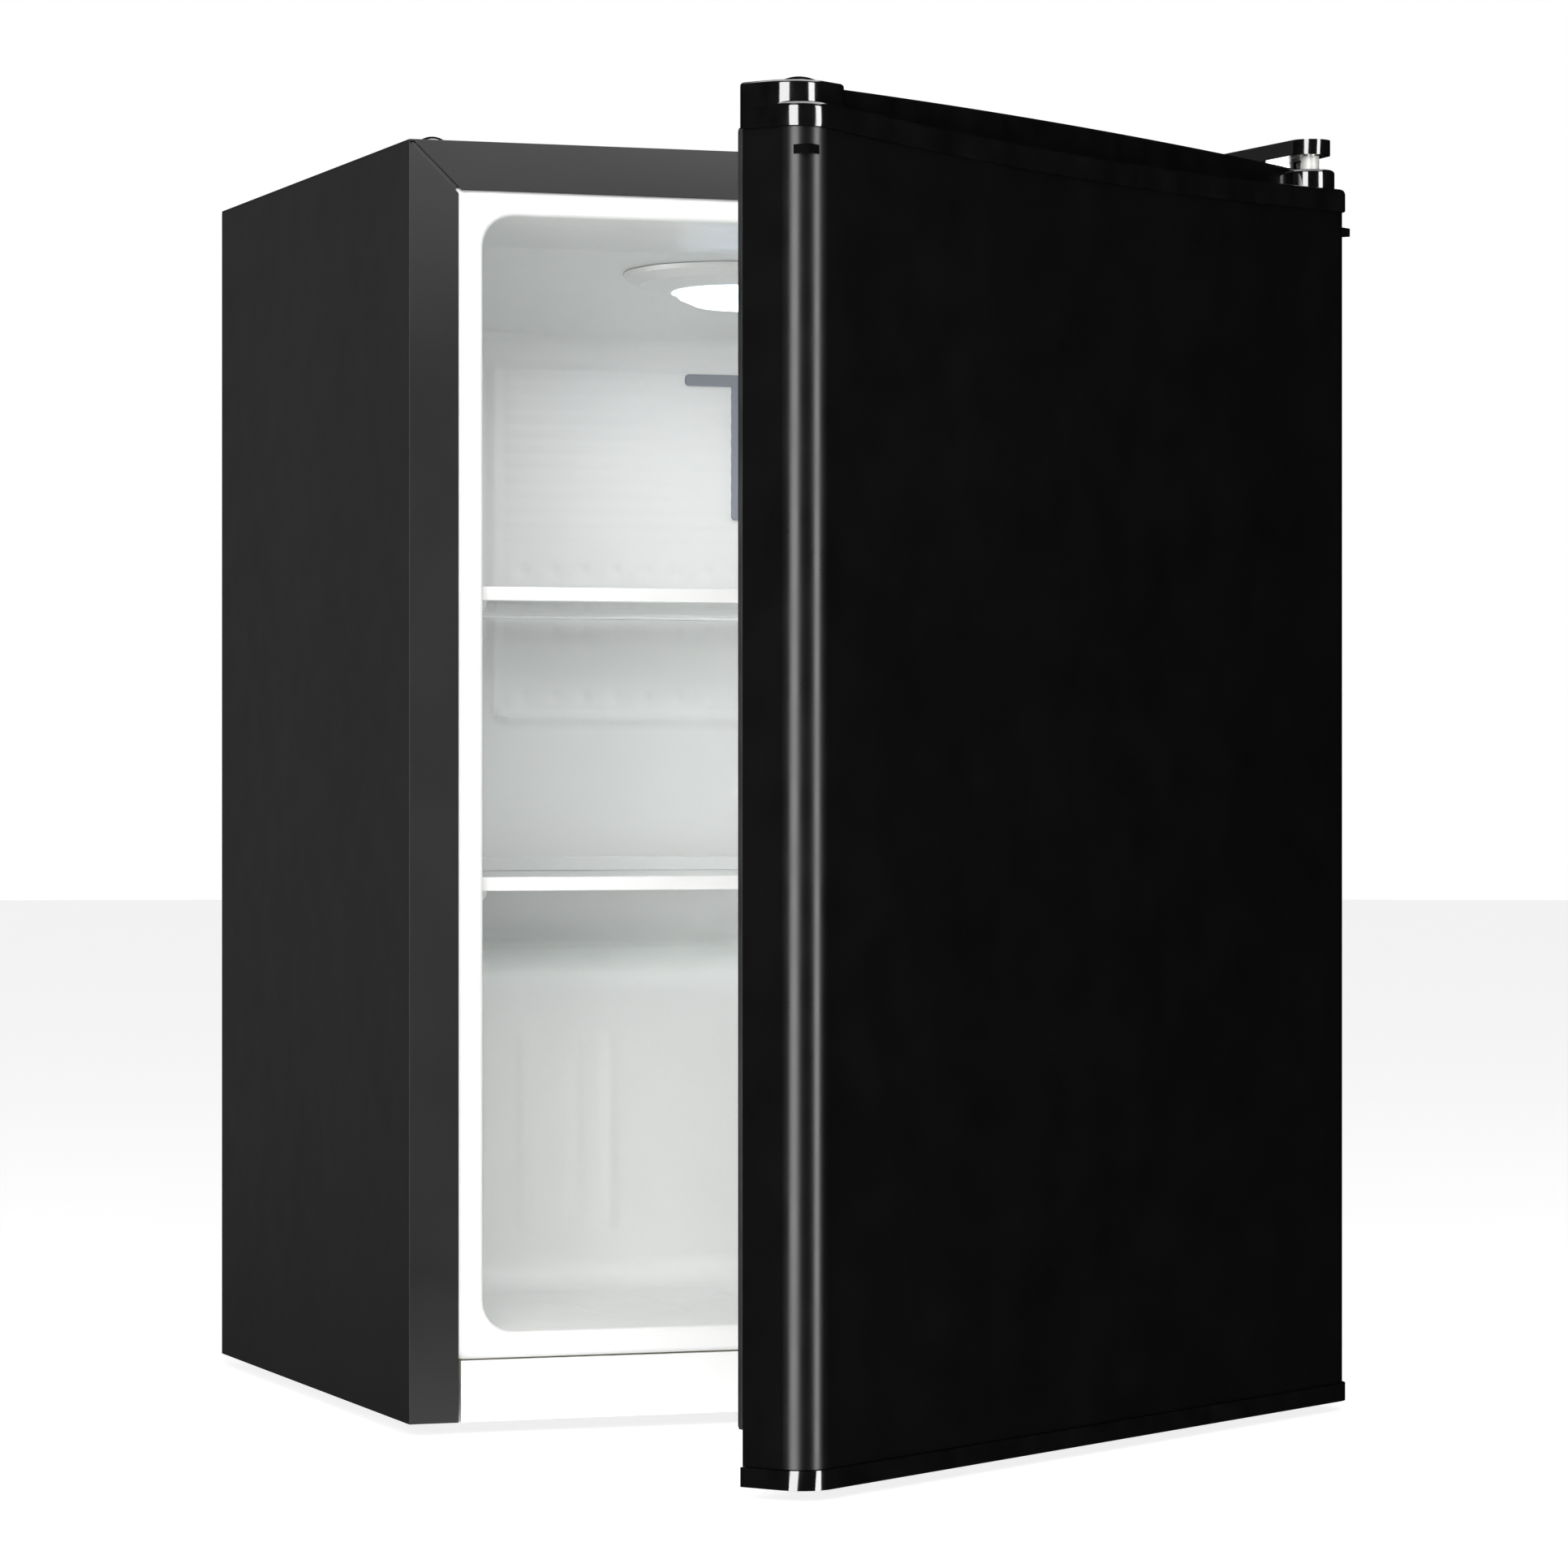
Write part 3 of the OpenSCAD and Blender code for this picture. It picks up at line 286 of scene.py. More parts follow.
def glass(name):
    """Float glass shelf: green body colour and a few finger marks."""
    m = Nodes(name)
    m.colour(m.noise(5, 3), (0.3, (0.9, 0.955, 0.935)), (0.7, (0.94, 0.975, 0.96)))
    m.rough(m.spread(m.noise(30, 6), 0.01, 0.07, 0.5, 0.8))
    m.bump((m.noise(10, 1), 0.00005))
    return m.set(Transmission_Weight=0.95, IOR=1.52)


def lit_lens(name):
    """Prismatic lamp lens that glows cold white, brighter over the lamps behind it."""
    m = Nodes(name)
    cells = m.add("ShaderNodeTexVoronoi", feature="F1")
    cells.inputs["Scale"].default_value = 260
    m.link(m.place, cells.inputs["Vector"])
    glow = m.ramp(m.noise(55, 3), (0.35, (0.5, 0.68, 0.95)), (0.62, (0.95, 0.98, 1.0)))
    m.link(glow, m.shader.inputs["Emission Color"])
    m.colour(m.noise(80, 2), (0.3, (0.75, 0.82, 0.9)), (0.7, (0.9, 0.95, 1.0)))
    m.rough(m.spread(cells.outputs["Distance"], 0.08, 0.3, 0, 1))
    m.bump((cells.outputs["Distance"], 0.0009))
    return m.set(Emission_Strength=1.6, Transmission_Weight=0.3, IOR=1.5)


def circuit(name):
    m = Nodes(name)
    tracks = m.add("ShaderNodeTexBrick", offset=0.3)
    tracks.inputs["Scale"].default_value = 120
    tracks.inputs["Color1"].default_value = (0.02, 0.16, 0.06, 1)
    tracks.inputs["Color2"].default_value = (0.015, 0.12, 0.05, 1)
    tracks.inputs["Mortar"].default_value = (0.35, 0.3, 0.12, 1)
    m.link(m.place, tracks.inputs["Vector"])
    m.link(tracks.outputs["Color"], m.shader.inputs["Base Color"])
    m.rough(m.spread(m.noise(200, 3), 0.25, 0.45))
    m.bump((tracks.outputs["Fac"], 0.00005))
    return m.material


LOOKS = {
    "cabinet_paint": painted_steel("cabinet_paint", 0.0098, 0.0116, 0.4, 0.46, 0.3),
    "door_paint": painted_steel("door_paint", 0.0016, 0.0022, 0.27, 0.32, 0.2),
    "galvanised_steel": sheet_metal("galvanised_steel", grey(0.36), grey(0.55), 0.3, 0.5),
    "white_plastic": white_plastic("white_plastic", 0.86, (1, 1, 0.99)),
    "insulation_foam": foam("insulation_foam"),
    "black_gloss_plastic": gloss_plastic("black_gloss_plastic", 0.0025, 0.0045),
    "gasket_rubber": soft_rubber("gasket_rubber", 0.012),
    "magnet_strip": enamel("magnet_strip", 0.03, 0.06, 0.5, 0.7),
    "hinge_steel": bare_metal("hinge_steel", grey(0.42), grey(0.6), 0.22, 0.4),
    "bearing_plastic": white_plastic("bearing_plastic", 0.7, (1, 0.99, 0.95), 0.3, 0.45),
    "shelf_glass": glass("shelf_glass"),
    "lamp_lens": lit_lens("lamp_lens"),
    "circuit_board": circuit("circuit_board"),
    # the sensor bracket plate sits where the rear wall shows a slot in shade: its dark grey and
    # bluish tint are painted shade
    "grey_plastic": white_plastic("grey_plastic", 0.3, (0.94, 0.97, 1.1), 0.3, 0.5),
    "dial_plastic": white_plastic("dial_plastic", 0.66, (0.98, 1, 1), 0.25, 0.35),
    "clear_plastic": clear_plastic("clear_plastic", (0.98, 1, 1)),
    "black_enamel": enamel("black_enamel", 0.008, 0.03, 0.22, 0.55),
    "copper": bare_metal("copper", (0.5, 0.2, 0.1), (0.85, 0.42, 0.24), 0.2, 0.42),
    "aluminium_sheet": sheet_metal("aluminium_sheet", grey(0.7), grey(0.8), 0.25, 0.4, 12),
    "black_plastic": grained_plastic("black_plastic", grey(0.012), grey(0.02)),
    "drain_plastic": white_plastic("drain_plastic", 0.5, (1, 1, 0.97), 0.35, 0.5),
}

# ---- CAD nodes that stay: softer edges and their finish ----


WELD_DISTANCE = 0.00001
EDGE_ROUND_MM = 0.3
EDGE_SEGMENTS = 2
EDGE_ANGLE = 40
CLEAR_NODES = ("upper_shelf_glass", "lower_shelf_glass", "door_rack_top", "door_rack_middle",
    "door_rack_bottom")


def finish_node(name):
    """Welds the shown copy of a CAD node, rounds its edges and paints it."""
    node = nodes[name]
    node.data.materials.clear()
    node.data.materials.append(LOOKS[NODE_SLOT[name]])
    weld = node.modifiers.new("weld", "WELD")
    weld.merge_threshold = WELD_DISTANCE
    bevel = node.modifiers.new("round_edges", "BEVEL")
    bevel.width = EDGE_ROUND_MM * MM
    bevel.segments = EDGE_SEGMENTS
    bevel.limit_method = "ANGLE"
    bevel.angle_limit = math.radians(EDGE_ANGLE)
    bevel.harden_normals = False
    normals = node.modifiers.new("normals", "WEIGHTED_NORMAL")
    normals.keep_sharp = True


for node_name in nodes:
    finish_node(node_name)
for node_name in CLEAR_NODES:
    nodes[node_name].visible_shadow = False

# ---- Shapes that replace CAD nodes ----


def piece(name, vertices, faces, space, node, body, modifiers=(), sharp=32, turn=True):
    """Mesh piece in millimetres of a space. It takes the look and slot of its node and hides it."""
    mesh = bpy.data.meshes.new(name)
    mesh.from_pydata([tuple(v) for v in vertices], [], faces)
    mesh.transform(space)
    clean = bmesh.new()
    clean.from_mesh(mesh)
    bmesh.ops.remove_doubles(clean, verts=clean.verts, dist=0.00002)
    bmesh.ops.dissolve_degenerate(clean, edges=clean.edges, dist=0.00001)
    if turn:
        bmesh.ops.recalc_face_normals(clean, faces=clean.faces)
    clean.to_mesh(mesh)
    clean.free()
    mesh.materials.append(LOOKS[NODE_SLOT[node]])
    mesh.shade_smooth()
    mesh.set_sharp_from_angle(angle=math.radians(sharp))
    thing = bpy.data.objects.new(name, mesh)
    bpy.context.scene.collection.objects.link(thing)
    for kind, settings in modifiers:
        modifier = thing.modifiers.new(kind.lower(), kind)
        for key, value in settings.items():
            setattr(modifier, key, value)
    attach(thing, body)
    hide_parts(node)
    return thing


def soft_bevel(width_mm, segments=3, angle=35):
    return ("BEVEL", {"width": width_mm * MM, "segments": segments, "limit_method": "ANGLE",
        "angle_limit": math.radians(angle)})


SMOOTH_NORMALS = ("WEIGHTED_NORMAL", {"keep_sharp": True})


def ease(t):
    t = min(max(t, 0.0), 1.0)
    return t * t * (3 - 2 * t)


def between(value, low, high, soft):
    """1 inside low to high, easing to 0 over soft outside."""
    return ease((value - low) / soft + 1) * ease((high - value) / soft + 1)


def hump(distance, half):
    """Smooth hump of height 1 with a half width."""
    return 0.5 + 0.5 * math.cos(math.pi * min(abs(distance) / half, 1.0))


def spaced(a, b, step):
    count = max(1, math.ceil(abs(b - a) / step))
    return [a + (b - a) * i / count for i in range(count + 1)]


def arc(cx, cy, radius, start, stop, count):
    return [(cx + radius * math.cos(math.radians(start + (stop - start) * i / count)),
        cy + radius * math.sin(math.radians(start + (stop - start) * i / count))
        ) for i in range(count + 1)]


def quarter(steps):
    """Angles from 0 to a right angle."""
    return [math.pi / 2 * i / steps for i in range(steps + 1)]


def grid_faces(rows, columns, first=0, close=False):
    faces = []
    wrap = columns if close else columns - 1
    for r in range(rows - 1):
        for c in range(wrap):
            d = (c + 1) % columns
            faces.append((first + r * columns + c, first + r * columns + d,
                first + (r + 1) * columns + d, first + (r + 1) * columns + c))
    return faces


# ---- Food compartment liner ----

wall = 37.0
left_wall, right_wall = wall, width - wall
floor_level, ceiling_level = 41.5, height - 34
rear_wall = 315.0
ceiling_rear = ceiling_level - 32
slope_start = 155.0
ledge_level = 215.0
step_face = 218.0
step_edge = 24.0
corner = 15.0
concave = 16.0
liner_face = 2.2
mouth_round = 3.0
liner_skin = 1.5
rib_half, rib_rise = 5.5, 2.0
floor_ribs = (115, 160, 205, 255, 300, 345)
riser_flutes = (123, 150, 168, width - 168, width - 150, width - 123)
dimple_rows = (345.0, 379.0, 411.5)
first_dimple, dimple_pitch = 151, 17
fine_rib_start, fine_rib_pitch = 433, 8


class Track:
    """Points with normals along a profile in (y, z), found by a share of its length."""

    def __init__(self):
        self.points = []

    def line(self, a, b, normal, step):
        for i, t in enumerate(spaced(0, 1, step / max(math.dist(a, b), step))):
            self.points.append(((a[0] + (b[0] - a[0]) * t, a[1] + (b[1] - a[1]) * t), normal))

    def bend(self, centre, radius, start, stop, inward, count):
        for i in range(1, count):
            a = math.radians(start + (stop - start) * i / count)
            out = (math.cos(a), math.sin(a))
            spot = (centre[0] + radius * out[0], centre[1] + radius * out[1])
            self.points.append((spot, (-out[0], -out[1]) if inward else out))

    def resampled(self, count):
        points = self.points
        run = [0.0]
        for (a, _), (b, _) in zip(points, points[1:]):
            run.append(run[-1] + math.dist(a, b))
        result = []
        j = 0
        for i in range(count):
            goal = run[-1] * i / (count - 1)
            while j < len(run) - 2 and run[j + 1] < goal:
                j += 1
            t = (goal - run[j]) / max(run[j + 1] - run[j], 1e-9)
            (a, n), (b, m) = points[j], points[j + 1]
            normal = Vector((n[0] + (m[0] - n[0]) * t, n[1] + (m[1] - n[1]) * t)).normalized()
            result.append(((a[0] + (b[0] - a[0]) * t, a[1] + (b[1] - a[1]) * t), tuple(normal)))
        return result


def liner_floor_track():
    track = Track()
    start = liner_face + mouth_round
    track.line((start, floor_level), (step_face - concave, floor_level), (0, 1), 2.6)
    track.bend((step_face - concave, floor_level + concave), concave, -90, 0, True, 8)
    track.line((step_face, floor_level + concave), (step_face, ledge_level - step_edge), (-1, 0), 3)
    track.bend((step_face + step_edge, ledge_level - step_edge), step_edge, 180, 90, False, 12)
    track.line((step_face + step_edge, ledge_level), (rear_wall - concave, ledge_level), (0, 1), 3)
    track.bend((rear_wall - concave, ledge_level + concave), concave, -90, 0, True, 8)
    track.points.append(((rear_wall, ledge_level + concave), (-1, 0)))
    return track


def liner_ceiling_track():
    track = Track()
    start = liner_face + mouth_round
    drop = math.atan2(ceiling_level - ceiling_rear, rear_wall - slope_start)
    down = (-math.sin(drop), -math.cos(drop))
    reach = concave * math.tan(drop / 2)
    track.line((start, ceiling_level), (slope_start - reach, ceiling_level), (0, -1), 3)
    track.bend((slope_start - reach, ceiling_level - concave), concave, 90,
        90 - math.degrees(drop), True, 4)
    # the round corner between sloping ceiling and rear wall
    centre_y = rear_wall - concave
    centre_z = ceiling_level - (centre_y - slope_start) * math.tan(drop) - concave / math.cos(drop)
    end = (centre_y + concave * math.sin(drop), centre_z + concave * math.cos(drop))
    below = (slope_start + reach * math.cos(drop), ceiling_level - reach * math.sin(drop))
    track.line(below, end, down, 3)
    track.bend((centre_y, centre_z), concave, 90 - math.degrees(drop), 0, True, 8)
    track.points.append(((rear_wall, centre_z), (-1, 0)))
    return track


def floor_relief(x, y):
    """Ribs on the compartment floor, in mm towards the room."""
    for rib in floor_ribs:
        if abs(x - rib) < rib_half:
            return rib_rise * hump(x - rib, rib_half) * between(y, 84, 144, 8)
    return 0.0


def riser_relief(x, z):
    """Upright flutes on the step over the compressor bay, in mm towards the room."""
    for flute in riser_flutes:
        if abs(x - flute) < rib_half:
            return rib_rise * hump(x - flute, rib_half) * between(z, 78, 168, 10)
    return 0.0


def rear_relief(x, z):
    """Embossed evaporator panel: a bead round it, rows of dimples and fine ribs."""
    half, low, high, soft = 95.0, 333.6, 524.0, 9.0
    dx = abs(x - width / 2) - half + soft
    dz = low + soft - z
    outside = math.hypot(max(dx, 0), max(dz, 0)) + min(max(dx, dz), 0) - soft
    lift = 1.6 * hump(outside, 3.4) if z < high else 0.0
    if outside > 3.4:
        return 0.0
    lift += 0.9 * ease((3.4 - outside) / 5) * ease((high - z) / 6)
    if 338 < z < 420 and outside < -6:
        row = min(dimple_rows, key=lambda level: abs(level - z))
        spot = first_dimple + dimple_pitch * round((x - first_dimple) / dimple_pitch)
        away = math.hypot(x - spot, z - row)
        lift -= 1.8 * hump(away, 5.0)
    if 430 < z < 522 and outside < -3:
        half_pitch = fine_rib_pitch / 2
        ridge = hump((z - fine_rib_start) % fine_rib_pitch - half_pitch, half_pitch)
        lift += 0.7 * ridge * ease((-outside - 3) / 8)
    return lift


liner_columns = spaced(left_wall + corner, right_wall - corner, 2.5)
arc_steps = 7
floor_stations = 196


def matched_stations(floor_track, ceiling_track):
    """Each floor station with the ceiling station of matching depth."""

    def depths(track):
        return [point[0] + normal[0] * corner for point, normal in track]

    floor_depths, ceiling_depths = depths(floor_track), depths(ceiling_track)
    stations = []
    last = 0
    for i, (point, normal) in enumerate(floor_track):
        share = (floor_depths[i] - floor_depths[0]) / (floor_depths[-1] - floor_depths[0])
        # a small even part keeps the ceiling moving where the floor track stands upright
        share = 0.985 * share + 0.015 * i / (floor_stations - 1)
        goal = ceiling_depths[0] + (ceiling_depths[-1] - ceiling_depths[0]) * share
        while last < len(ceiling_track) - 1 and ceiling_depths[last] < goal - 1e-6:
            last += 1
        stations.append((point, normal, *ceiling_track[last]))
    stations[-1] = (*floor_track[-1], *ceiling_track[-1])
    return stations


def liner_ring(wall_steps, p, n, q, m, out=0.0):
    """One loop round the compartment: floor, left wall, ceiling, right wall."""
    r = corner + out
    x0, x1 = left_wall - out, right_wall + out
    low = (p[0] + n[0] * r, p[1] + n[1] * r)
    top = (q[0] + m[0] * r, q[1] + m[1] * r)
    turn = quarter(arc_steps)[1:]
    loop = []

    def flat(base, normal, xs):
        for x in xs:
            lift = 0.0
            if out == 0:
                if normal[1] > 0.99 and base[1] < floor_level + 1:
                    lift = floor_relief(x, base[0])
                elif normal[0] < -0.99 and base[1] < ledge_level:
                    lift = riser_relief(x, base[1])
            loop.append((x, base[0] + normal[0] * lift, base[1] + normal[1] * lift))

    def edge(side, base, normal, angles):
        for a in angles:
            deep = r - r * math.cos(a)
            x = x0 + r - r * math.sin(a) if side < 0 else x1 - r + r * math.sin(a)
            loop.append((x, base[0] + normal[0] * deep, base[1] + normal[1] * deep))

    def upright(x, steps):
        for i in steps:
            t = i / wall_steps
            loop.append((x, low[0] + (top[0] - low[0]) * t, low[1] + (top[1] - low[1]) * t))

    flat(p, n, reversed(liner_columns))
    edge(-1, p, n, turn)
    upright(x0, range(1, wall_steps))
    edge(-1, q, m, reversed(turn))
    flat(q, m, liner_columns)
    edge(1, q, m, turn)
    upright(x1, range(wall_steps - 1, 0, -1))
    edge(1, p, n, reversed(turn))
    return loop


def liner_mouth(wall_steps):
    """Loops from the flat face round the opening and over its rounded edge."""

    def mouth_ring(y, out):
        return liner_ring(wall_steps, (y, floor_level - out), (0, 1), (y, ceiling_level + out),
            (0, -1), out)

    left, right, foot, head = 22.0, width - 22, 29.5, height - 21
    middle_x, middle_z = width / 2, (foot + head) / 2
    mouth = mouth_ring(liner_face, mouth_round)
    outer = []
    for x, y, z in mouth:
        dx, dz = x - middle_x, z - middle_z
        grow = min((middle_x - left) / max(abs(dx), 1e-6), (head - middle_z) / max(abs(dz), 1e-6))
        outer.append((middle_x + dx * grow, y, middle_z + dz * grow))
    loops = []
    for t in (1.0, 0.75, 0.5, 0.25):
        loops.append([(a[0] + (b[0] - a[0]) * t, a[1], a[2] + (b[2] - a[2]) * t)
            for a, b in zip(mouth, outer)])
    for a in quarter(6)[:-1]:
        loops.append(mouth_ring(liner_face + mouth_round * (1 - math.cos(a)),
            mouth_round * (1 - math.sin(a))))
    return loops


def rear_wall_faces(vertices, last_loop, count, rows):
    """Adds the rear wall's points and joins them to the last loop of the tub."""
    wall_steps, wide = len(rows) - 1, len(liner_columns)
    side_steps = wall_steps - 1
    left_arc = [last_loop + wide + i for i in range(arc_steps)]
    left_side = [last_loop + wide + arc_steps + i for i in range(side_steps)]
    top_start = last_loop + wide + arc_steps + side_steps
    top_count = 2 * arc_steps + wide
    top_line = [top_start + i for i in range(top_count)]
    right_side = [top_start + top_count + i for i in range(side_steps)]
    right_arc = [last_loop + count - arc_steps + i for i in range(arc_steps)]
    floor_line = left_arc[::-1] + [last_loop + wide - 1 - i for i in range(wide)] + right_arc[::-1]

    def add(x, y, z):
        vertices.append((x, y, z))
        return len(vertices) - 1

    def arc_spot(k, z, right):
        a = math.pi / 2 * k / arc_steps
        x = right_wall - corner + corner * math.sin(a) if right else (
            left_wall + corner - corner * math.sin(a))
        return add(x, rear_wall - corner + corner * math.cos(a), z)

    lines = [floor_line]
    for i in range(1, wall_steps):
        z = rows[i]
        line = [left_side[i - 1]]
        line += [arc_spot(k, z, False) for k in range(arc_steps - 1, 0, -1)]
        line += [add(x, rear_wall - rear_relief(x, z), z) for x in liner_columns]
        line += [arc_spot(k, z, True) for k in range(1, arc_steps)]
        lines.append(line + [right_side[side_steps - i]])
    lines.append(top_line)
    return [(low[i], high[i], high[i + 1], low[i + 1])
        for low, high in zip(lines, lines[1:]) for i in range(len(low) - 1)]


def make_liner():
    floor_track = liner_floor_track().resampled(floor_stations)
    ceiling_track = liner_ceiling_track().resampled(floor_stations * 3)
    rows = spaced(floor_track[-1][0][1], ceiling_track[-1][0][1], 2.6)
    wall_steps = len(rows) - 1
    loops = liner_mouth(wall_steps)
    for station in matched_stations(floor_track, ceiling_track):
        loops.append(liner_ring(wall_steps, *station))
    count = len(loops[0])
    vertices = [v for loop in loops for v in loop]
    faces = grid_faces(len(loops), count, close=True)
    faces += rear_wall_faces(vertices, (len(loops) - 1) * count, count, rows)
    skin = ("SOLIDIFY", {"thickness": liner_skin * MM, "offset": 1.0, "use_rim": True})
    return piece("liner_tub", vertices, faces, CABINET, "inner_liner", "cabinet", [skin], 50, False)


def prism(outline, axis, low, high):
    """Vertices and faces of an outline in the two other coordinates, pushed along an axis."""
    count = len(outline)

    def spot(a, b, deep):
        return {"x": (deep, a, b), "y": (a, deep, b), "z": (a, b, deep)}[axis]

    vertices = [spot(a, b, low) for a, b in outline] + [spot(a, b, high) for a, b in outline]
    faces = [tuple(range(count)), tuple(range(2 * count - 1, count - 1, -1))]
    faces += [(i, (i + 1) % count, count + (i + 1) % count, count + i) for i in range(count)]
    return vertices, faces


def joined(parts):
    vertices, faces = [], []
    for more_vertices, more_faces in parts:
        first = len(vertices)
        vertices += more_vertices
        faces += [tuple(first + i for i in face) for face in more_faces]
    return vertices, faces


bearer_gap = 0.1
bearer_tops = [round((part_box(glass)[0].z - steel_edge_z) / MM - bearer_gap, 1)
    for glass in ("upper_shelf_glass", "lower_shelf_glass")]
bearer_front, bearer_rear = 30, 286
bearer_profile = ((-0.4, -10), (3, -9), (8.2, -5.4), (9.7, -3.6), (10, -1.2), (9.4, 0), (-0.4, 0))


def make_bearers():
    """Shelf bearers moulded on the side walls."""
    bars = []
    for top in bearer_tops:
        for side, base in ((-1, left_wall), (1, right_wall)):
            outline = [(base - side * a, top + b) for a, b in bearer_profile]
            bars.append(prism(outline, "y", bearer_front, bearer_rear))
    piece("liner_shelf_bearers", *joined(bars), CABINET, "inner_liner", "cabinet",
        [soft_bevel(1.1, 3, 20), SMOOTH_NORMALS])


make_liner()
make_bearers()

# ---- Door top cap: lip, end blocks, finger recess and rear wall, in door millimetres ----

lip_front = -46.5
lip_corner = 15.5
door_rear = -10.0
lip_drop = 5.0
lip_middle = height - 16.2
lip_tall = 11.0
cap_top = height - 2
recess_bottom = height - 30
pin_u = round((pin.x - cabinet_corner.x) / MM, 1)
pin_v = round((pin.y - cabinet_corner.y) / MM, 1)
lip_overhang = 1.5
lip_round, lip_foot_round = 2.6, 0.6
lip_rear, lip_rear_round = 6.5, 1.2
lip_skirt = recess_bottom - 2
block_foot, block_edge = recess_bottom - 1, 1.6
rail_front, rail_round, rail_rear_round = -26.0, 1.4, 1.0


def sag(u):
    """Rise of the lip's smile at a place along the door."""
    radius = ((width / 2) ** 2 + lip_drop ** 2) / (2 * lip_drop)
    return radius - math.sqrt(radius ** 2 - min(abs(u - width / 2), width / 2) ** 2)


def lip_path():
    """Stations round the door's front: place, inward direction."""
    low, high = -lip_overhang, width + lip_overhang
    cu, cv = low + lip_corner, lip_front + lip_corner
    path = [((low, v), (1, 0)) for v in spaced(door_rear, cv, 4)[:-1]]
    for u, v in arc(cu, cv, lip_corner, 180, 270, 20):
        path.append(((u, v), ((cu - u) / lip_corner, (cv - v) / lip_corner)))
    path += [((u, lip_front), (0, 1)) for u in spaced(cu, high - lip_corner, 6)[1:-1]]
    cu = high - lip_corner
    for u, v in arc(cu, cv, lip_corner, -90, 0, 20):
        path.append(((u, v), ((cu - u) / lip_corner, (cv - v) / lip_corner)))
    path += [((high, v), (-1, 0)) for v in spaced(cv, door_rear, 4)[1:]]
    return path


def ring_loft(sections):
    """Closed sections of equal length, skinned one after another with both ends capped."""
    count = len(sections[0])
    vertices = [v for section in sections for v in section]
    faces = grid_faces(len(sections), count, close=True)
    faces.append(tuple(range(count - 1, -1, -1)))
    last = (len(sections) - 1) * count
    faces.append(tuple(range(last, last + count)))
    return vertices, faces


def cap_lip():
    sections = []
    for (u, v), (iu, iv) in lip_path():
        rise = sag(u)
        top, foot = lip_middle + rise, lip_middle - lip_tall + rise
        r = lip_foot_round
        profile = [(lip_round, foot)] + [(r - r * math.sin(a), foot + r - r * math.cos(a))
            for a in (0.0, 0.8, math.pi / 2)]
        r = lip_round
        profile += [(r - r * math.cos(a), top - r + r * math.sin(a))
            for a in quarter(7)]
        r = lip_rear_round
        profile += [(lip_rear - r + r * math.sin(a), top - r + r * math.cos(a))
            for a in quarter(5)]
        profile += [(lip_rear, lip_skirt), (lip_round, lip_skirt)]
        sections.append([(u + iu * d, v + iv * d, z) for d, z in profile])
    return ring_loft(sections)


def left_block(inset):
    front, big, small, inner = lip_front + 4, 17.0, 4.0, 32.0
    left = -lip_overhang
    path = [(left + inset, door_rear - inset)]
    path += arc(left + big, front + big, big - inset, 180, 270, 18)
    path += arc(inner - small, front + small, small - inset, 270, 360, 8)
    path += [(inner - inset, door_rear - inset)]
    return path


def right_block(inset):
    front, big, boss, right = -40.3, 15.0, 12.3, width + lip_overhang
    path = [(pin_u - boss + inset, door_rear - inset)]
    path += arc(pin_u, pin_v, boss - inset, 180, 270, 16)
    path += arc(right - big, front + big, big - inset, 270, 360, 16)
    path += [(right - inset, door_rear - inset)]
    return path


def rounded_block(outline, foot, top, edge):
    """Upright block with a rounded upper edge, narrower where it stands inside the lip."""
    stages = ((foot, lip_round), (lip_middle + 1, lip_round), (lip_middle + 2, 0))
    sections = [[(u, v, z) for u, v in outline(inset)] for z, inset in stages]
    for a in quarter(5):
        inset = edge - edge * math.cos(a)
        sections.append([(u, v, top - edge + edge * math.sin(a)) for u, v in outline(inset)])
    return ring_loft(sections)


def rear_rail():
    """Arched wall behind the finger recess."""
    sections = []
    arch = 3.0
    radius = ((width / 2) ** 2 + arch ** 2) / (2 * arch)
    for u in spaced(34.5, pin_u - 6, 6):
        top = cap_top + arch - radius + math.sqrt(radius ** 2 - (u - width / 2) ** 2)
        profile = [(rail_front, block_foot)]
        r = rail_round
        profile += [(rail_front + r - r * math.cos(a), top - r + r * math.sin(a))
            for a in quarter(5)]
        r = rail_rear_round
        profile += [(door_rear - r + r * math.sin(a), top - r + r * math.cos(a))
            for a in quarter(4)]
        profile += [(door_rear, block_foot)]
        sections.append([(u, v, z) for v, z in profile])
    return ring_loft(sections)


def make_top_cap():
    floor_outline = [(1, -44), (width - 1, -44), (width - 1, -11), (1, -11)]
    shapes = {
        "cap_lip": cap_lip(),
        "cap_end_left": rounded_block(left_block, block_foot, cap_top, block_edge),
        "cap_end_right": rounded_block(right_block, block_foot, cap_top, block_edge),
        "cap_rear_rail": rear_rail(),
        "cap_recess_floor": prism(floor_outline, "z", recess_bottom - 4, recess_bottom),
    }
    for name, (vertices, faces) in shapes.items():
        piece(name, vertices, faces, DOOR, "door_top_cap", "door", sharp=38)


make_top_cap()


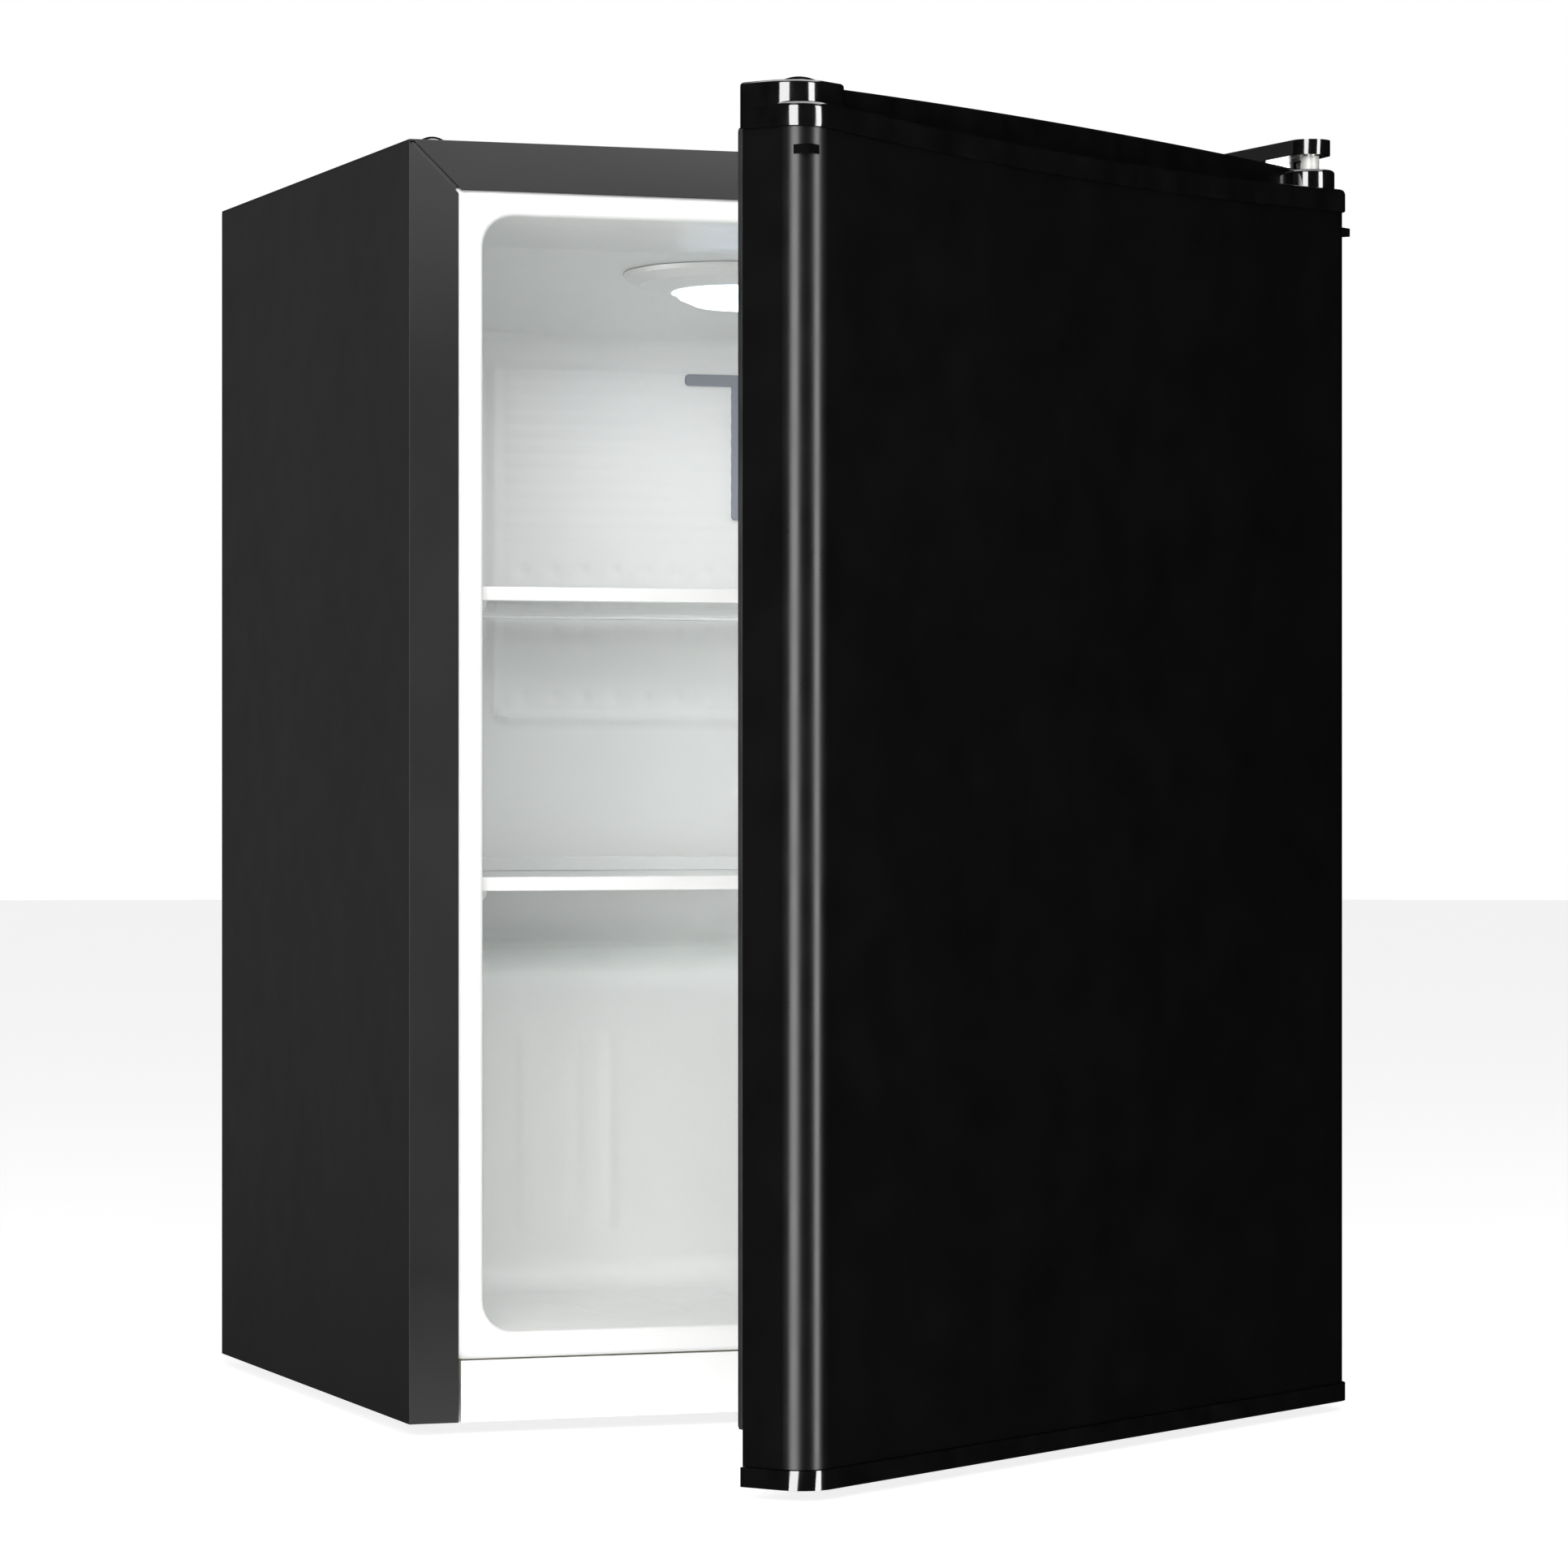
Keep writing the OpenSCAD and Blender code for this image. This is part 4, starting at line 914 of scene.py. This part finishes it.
def make_gasket():
    """Bellows section that runs round the door with mitred corners."""
    profile = [(0.6, -10.8), (0, -10.2), (0.3, -8.6), (1.6, -7.4), (0.2, -6.2), (0, -4.8),
        (0.2, -2.0), (1.4, -0.6), (3.2, -0.4), (14.8, -0.4), (16.6, -0.6), (17.8, -2.0),
        (18, -4.8), (17.8, -6.2), (16.4, -7.4), (17.7, -8.6), (18, -10.2), (17.4, -10.8)]
    low_u, high_u, low_z, high_z = 8.5, width - 12.5, 22.0, height - 20
    corners = [(low_u, low_z, 1, 1), (high_u, low_z, -1, 1), (high_u, high_z, -1, -1),
        (low_u, high_z, 1, -1)]
    vertices = [(u + du * d, v, z + dz * d) for u, z, du, dz in corners for d, v in profile]
    count = len(profile)
    faces = grid_faces(4, count, close=True)
    last = 3 * count
    faces += [(last + i, last + (i + 1) % count, (i + 1) % count, i) for i in range(count)]
    piece("gasket_bellows", vertices, faces, DOOR, "door_gasket", "door", sharp=60)


make_gasket()


# ---- Stage ----


def stage_mesh(name, vertices, faces, material):
    mesh = bpy.data.meshes.new(name)
    mesh.from_pydata(vertices, [], faces)
    mesh.materials.append(material)
    stage_object = bpy.data.objects.new(name, mesh)
    bpy.context.scene.collection.objects.link(stage_object)
    return stage_object


def white_emitter(name):
    material = bpy.data.materials.new(name)
    material.use_nodes = True
    tree = material.node_tree
    tree.nodes.remove(tree.nodes["Principled BSDF"])
    light = tree.nodes.new("ShaderNodeEmission")
    light.inputs["Color"].default_value = (1, 1, 1, 1)
    light.inputs["Strength"].default_value = 1.0
    tree.links.new(light.outputs[0], tree.nodes["Material Output"].inputs["Surface"])
    return material


def floor_material():
    m = Nodes("pale_floor")
    m.colour(m.noise(1.3, 3), (0.3, grey(0.38)), (0.7, grey(0.4)))
    m.rough(m.spread(m.noise(20, 3), 0.7, 0.8))
    m.shader.inputs["Emission Color"].default_value = (1, 1, 1, 1)
    return m.set(Specular_IOR_Level=0.05, Emission_Strength=0.84)


def unseen_by(thing, *rays):
    for ray in rays:
        setattr(thing, "visible_" + ray, False)


def make_stage():
    half = 14
    corners = [(-half, -half, 0), (half, -half, 0), (half, half, 0), (-half, half, 0)]
    floor = stage_mesh("floor", corners, [(0, 1, 2, 3)], floor_material())
    unseen_by(floor, "glossy", "shadow")
    radius, ring, rows = 13, 48, 12
    lowest, sweep = -12, 102
    vertices = []
    for row in range(rows + 1):
        lift = math.radians(lowest + sweep * row / rows)
        level = radius * math.cos(lift)
        for i in range(ring):
            turn = 2 * math.pi * i / ring
            vertices.append((level * math.cos(turn), level * math.sin(turn),
                radius * math.sin(lift)))
    faces = grid_faces(rows + 1, ring, close=True)
    dome = stage_mesh("backdrop", vertices, faces, white_emitter("white_backdrop"))
    unseen_by(dome, "diffuse", "glossy", "shadow", "transmission")


def softbox(name, azimuth, elevation, away, size, power, glossy=True, diffuse=True):
    """Area light that looks at the middle of the cabinet's front from a direction."""
    aim = CABINET @ Vector((width / 2, 0, height / 2))
    a, e = math.radians(azimuth), math.radians(elevation)
    spot = aim + away * Vector((math.cos(a) * math.cos(e), math.sin(a) * math.cos(e), math.sin(e)))
    data = bpy.data.lights.new(name, "AREA")
    data.shape = "RECTANGLE"
    data.size, data.size_y = size
    data.energy = power
    light = bpy.data.objects.new(name, data)
    light.location = spot
    light.rotation_euler = (spot - aim).to_track_quat("Z", "Y").to_euler()
    bpy.context.scene.collection.objects.link(light)
    light.visible_camera = False
    light.visible_glossy = glossy
    light.visible_diffuse = diffuse
    return light


def make_lights():
    world = bpy.data.worlds.new("studio")
    world.use_nodes = True
    world.node_tree.nodes["Background"].inputs["Color"].default_value = (1, 1, 1, 1)
    world.node_tree.nodes["Background"].inputs["Strength"].default_value = 0.13
    bpy.context.scene.world = world
    world.cycles_visibility.glossy = False
    softbox("key", -105, 28, 2.6, (2.2, 1.6), 54, glossy=False)
    softbox("fill_left", -165, 20, 2.6, (2.0, 1.6), 16, glossy=False)
    softbox("fill_front", -118, 6, 2.4, (0.9, 1.6), 9, glossy=False)
    softbox("top", -90, 75, 2.4, (2.0, 2.0), 20, glossy=False)
    softbox("strip_left", -132, 4, 2.3, (1.0, 2.2), 120, diffuse=False)
    softbox("strip_right", -60, 4, 2.3, (0.7, 2.2), 90, diffuse=False)
    softbox("side_card", 112, 12, 3.0, (1.6, 2.4), 1.6, diffuse=False)
    softbox("overhead_card", -90, 88, 1.9, (2.4, 2.2), 90, diffuse=False)
    lamp_low, lamp_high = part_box("lamp_lens")
    glow = bpy.data.lights.new("lamp_glow", "AREA")
    glow.shape = "RECTANGLE"
    glow.size, glow.size_y = 0.1, 0.05
    glow.energy = 0.13
    glow.color = (0.97, 0.98, 1.0)
    lamp_light = bpy.data.objects.new("lamp_glow", glow)
    lamp_light.location = (lamp_low + lamp_high) / 2
    lamp_light.location.z = lamp_low.z - 0.004
    lamp_light.visible_camera = False
    lamp_light.visible_glossy = False
    bpy.context.scene.collection.objects.link(lamp_light)
    bpy.context.scene.view_settings.view_transform = "Standard"


make_stage()
make_lights()
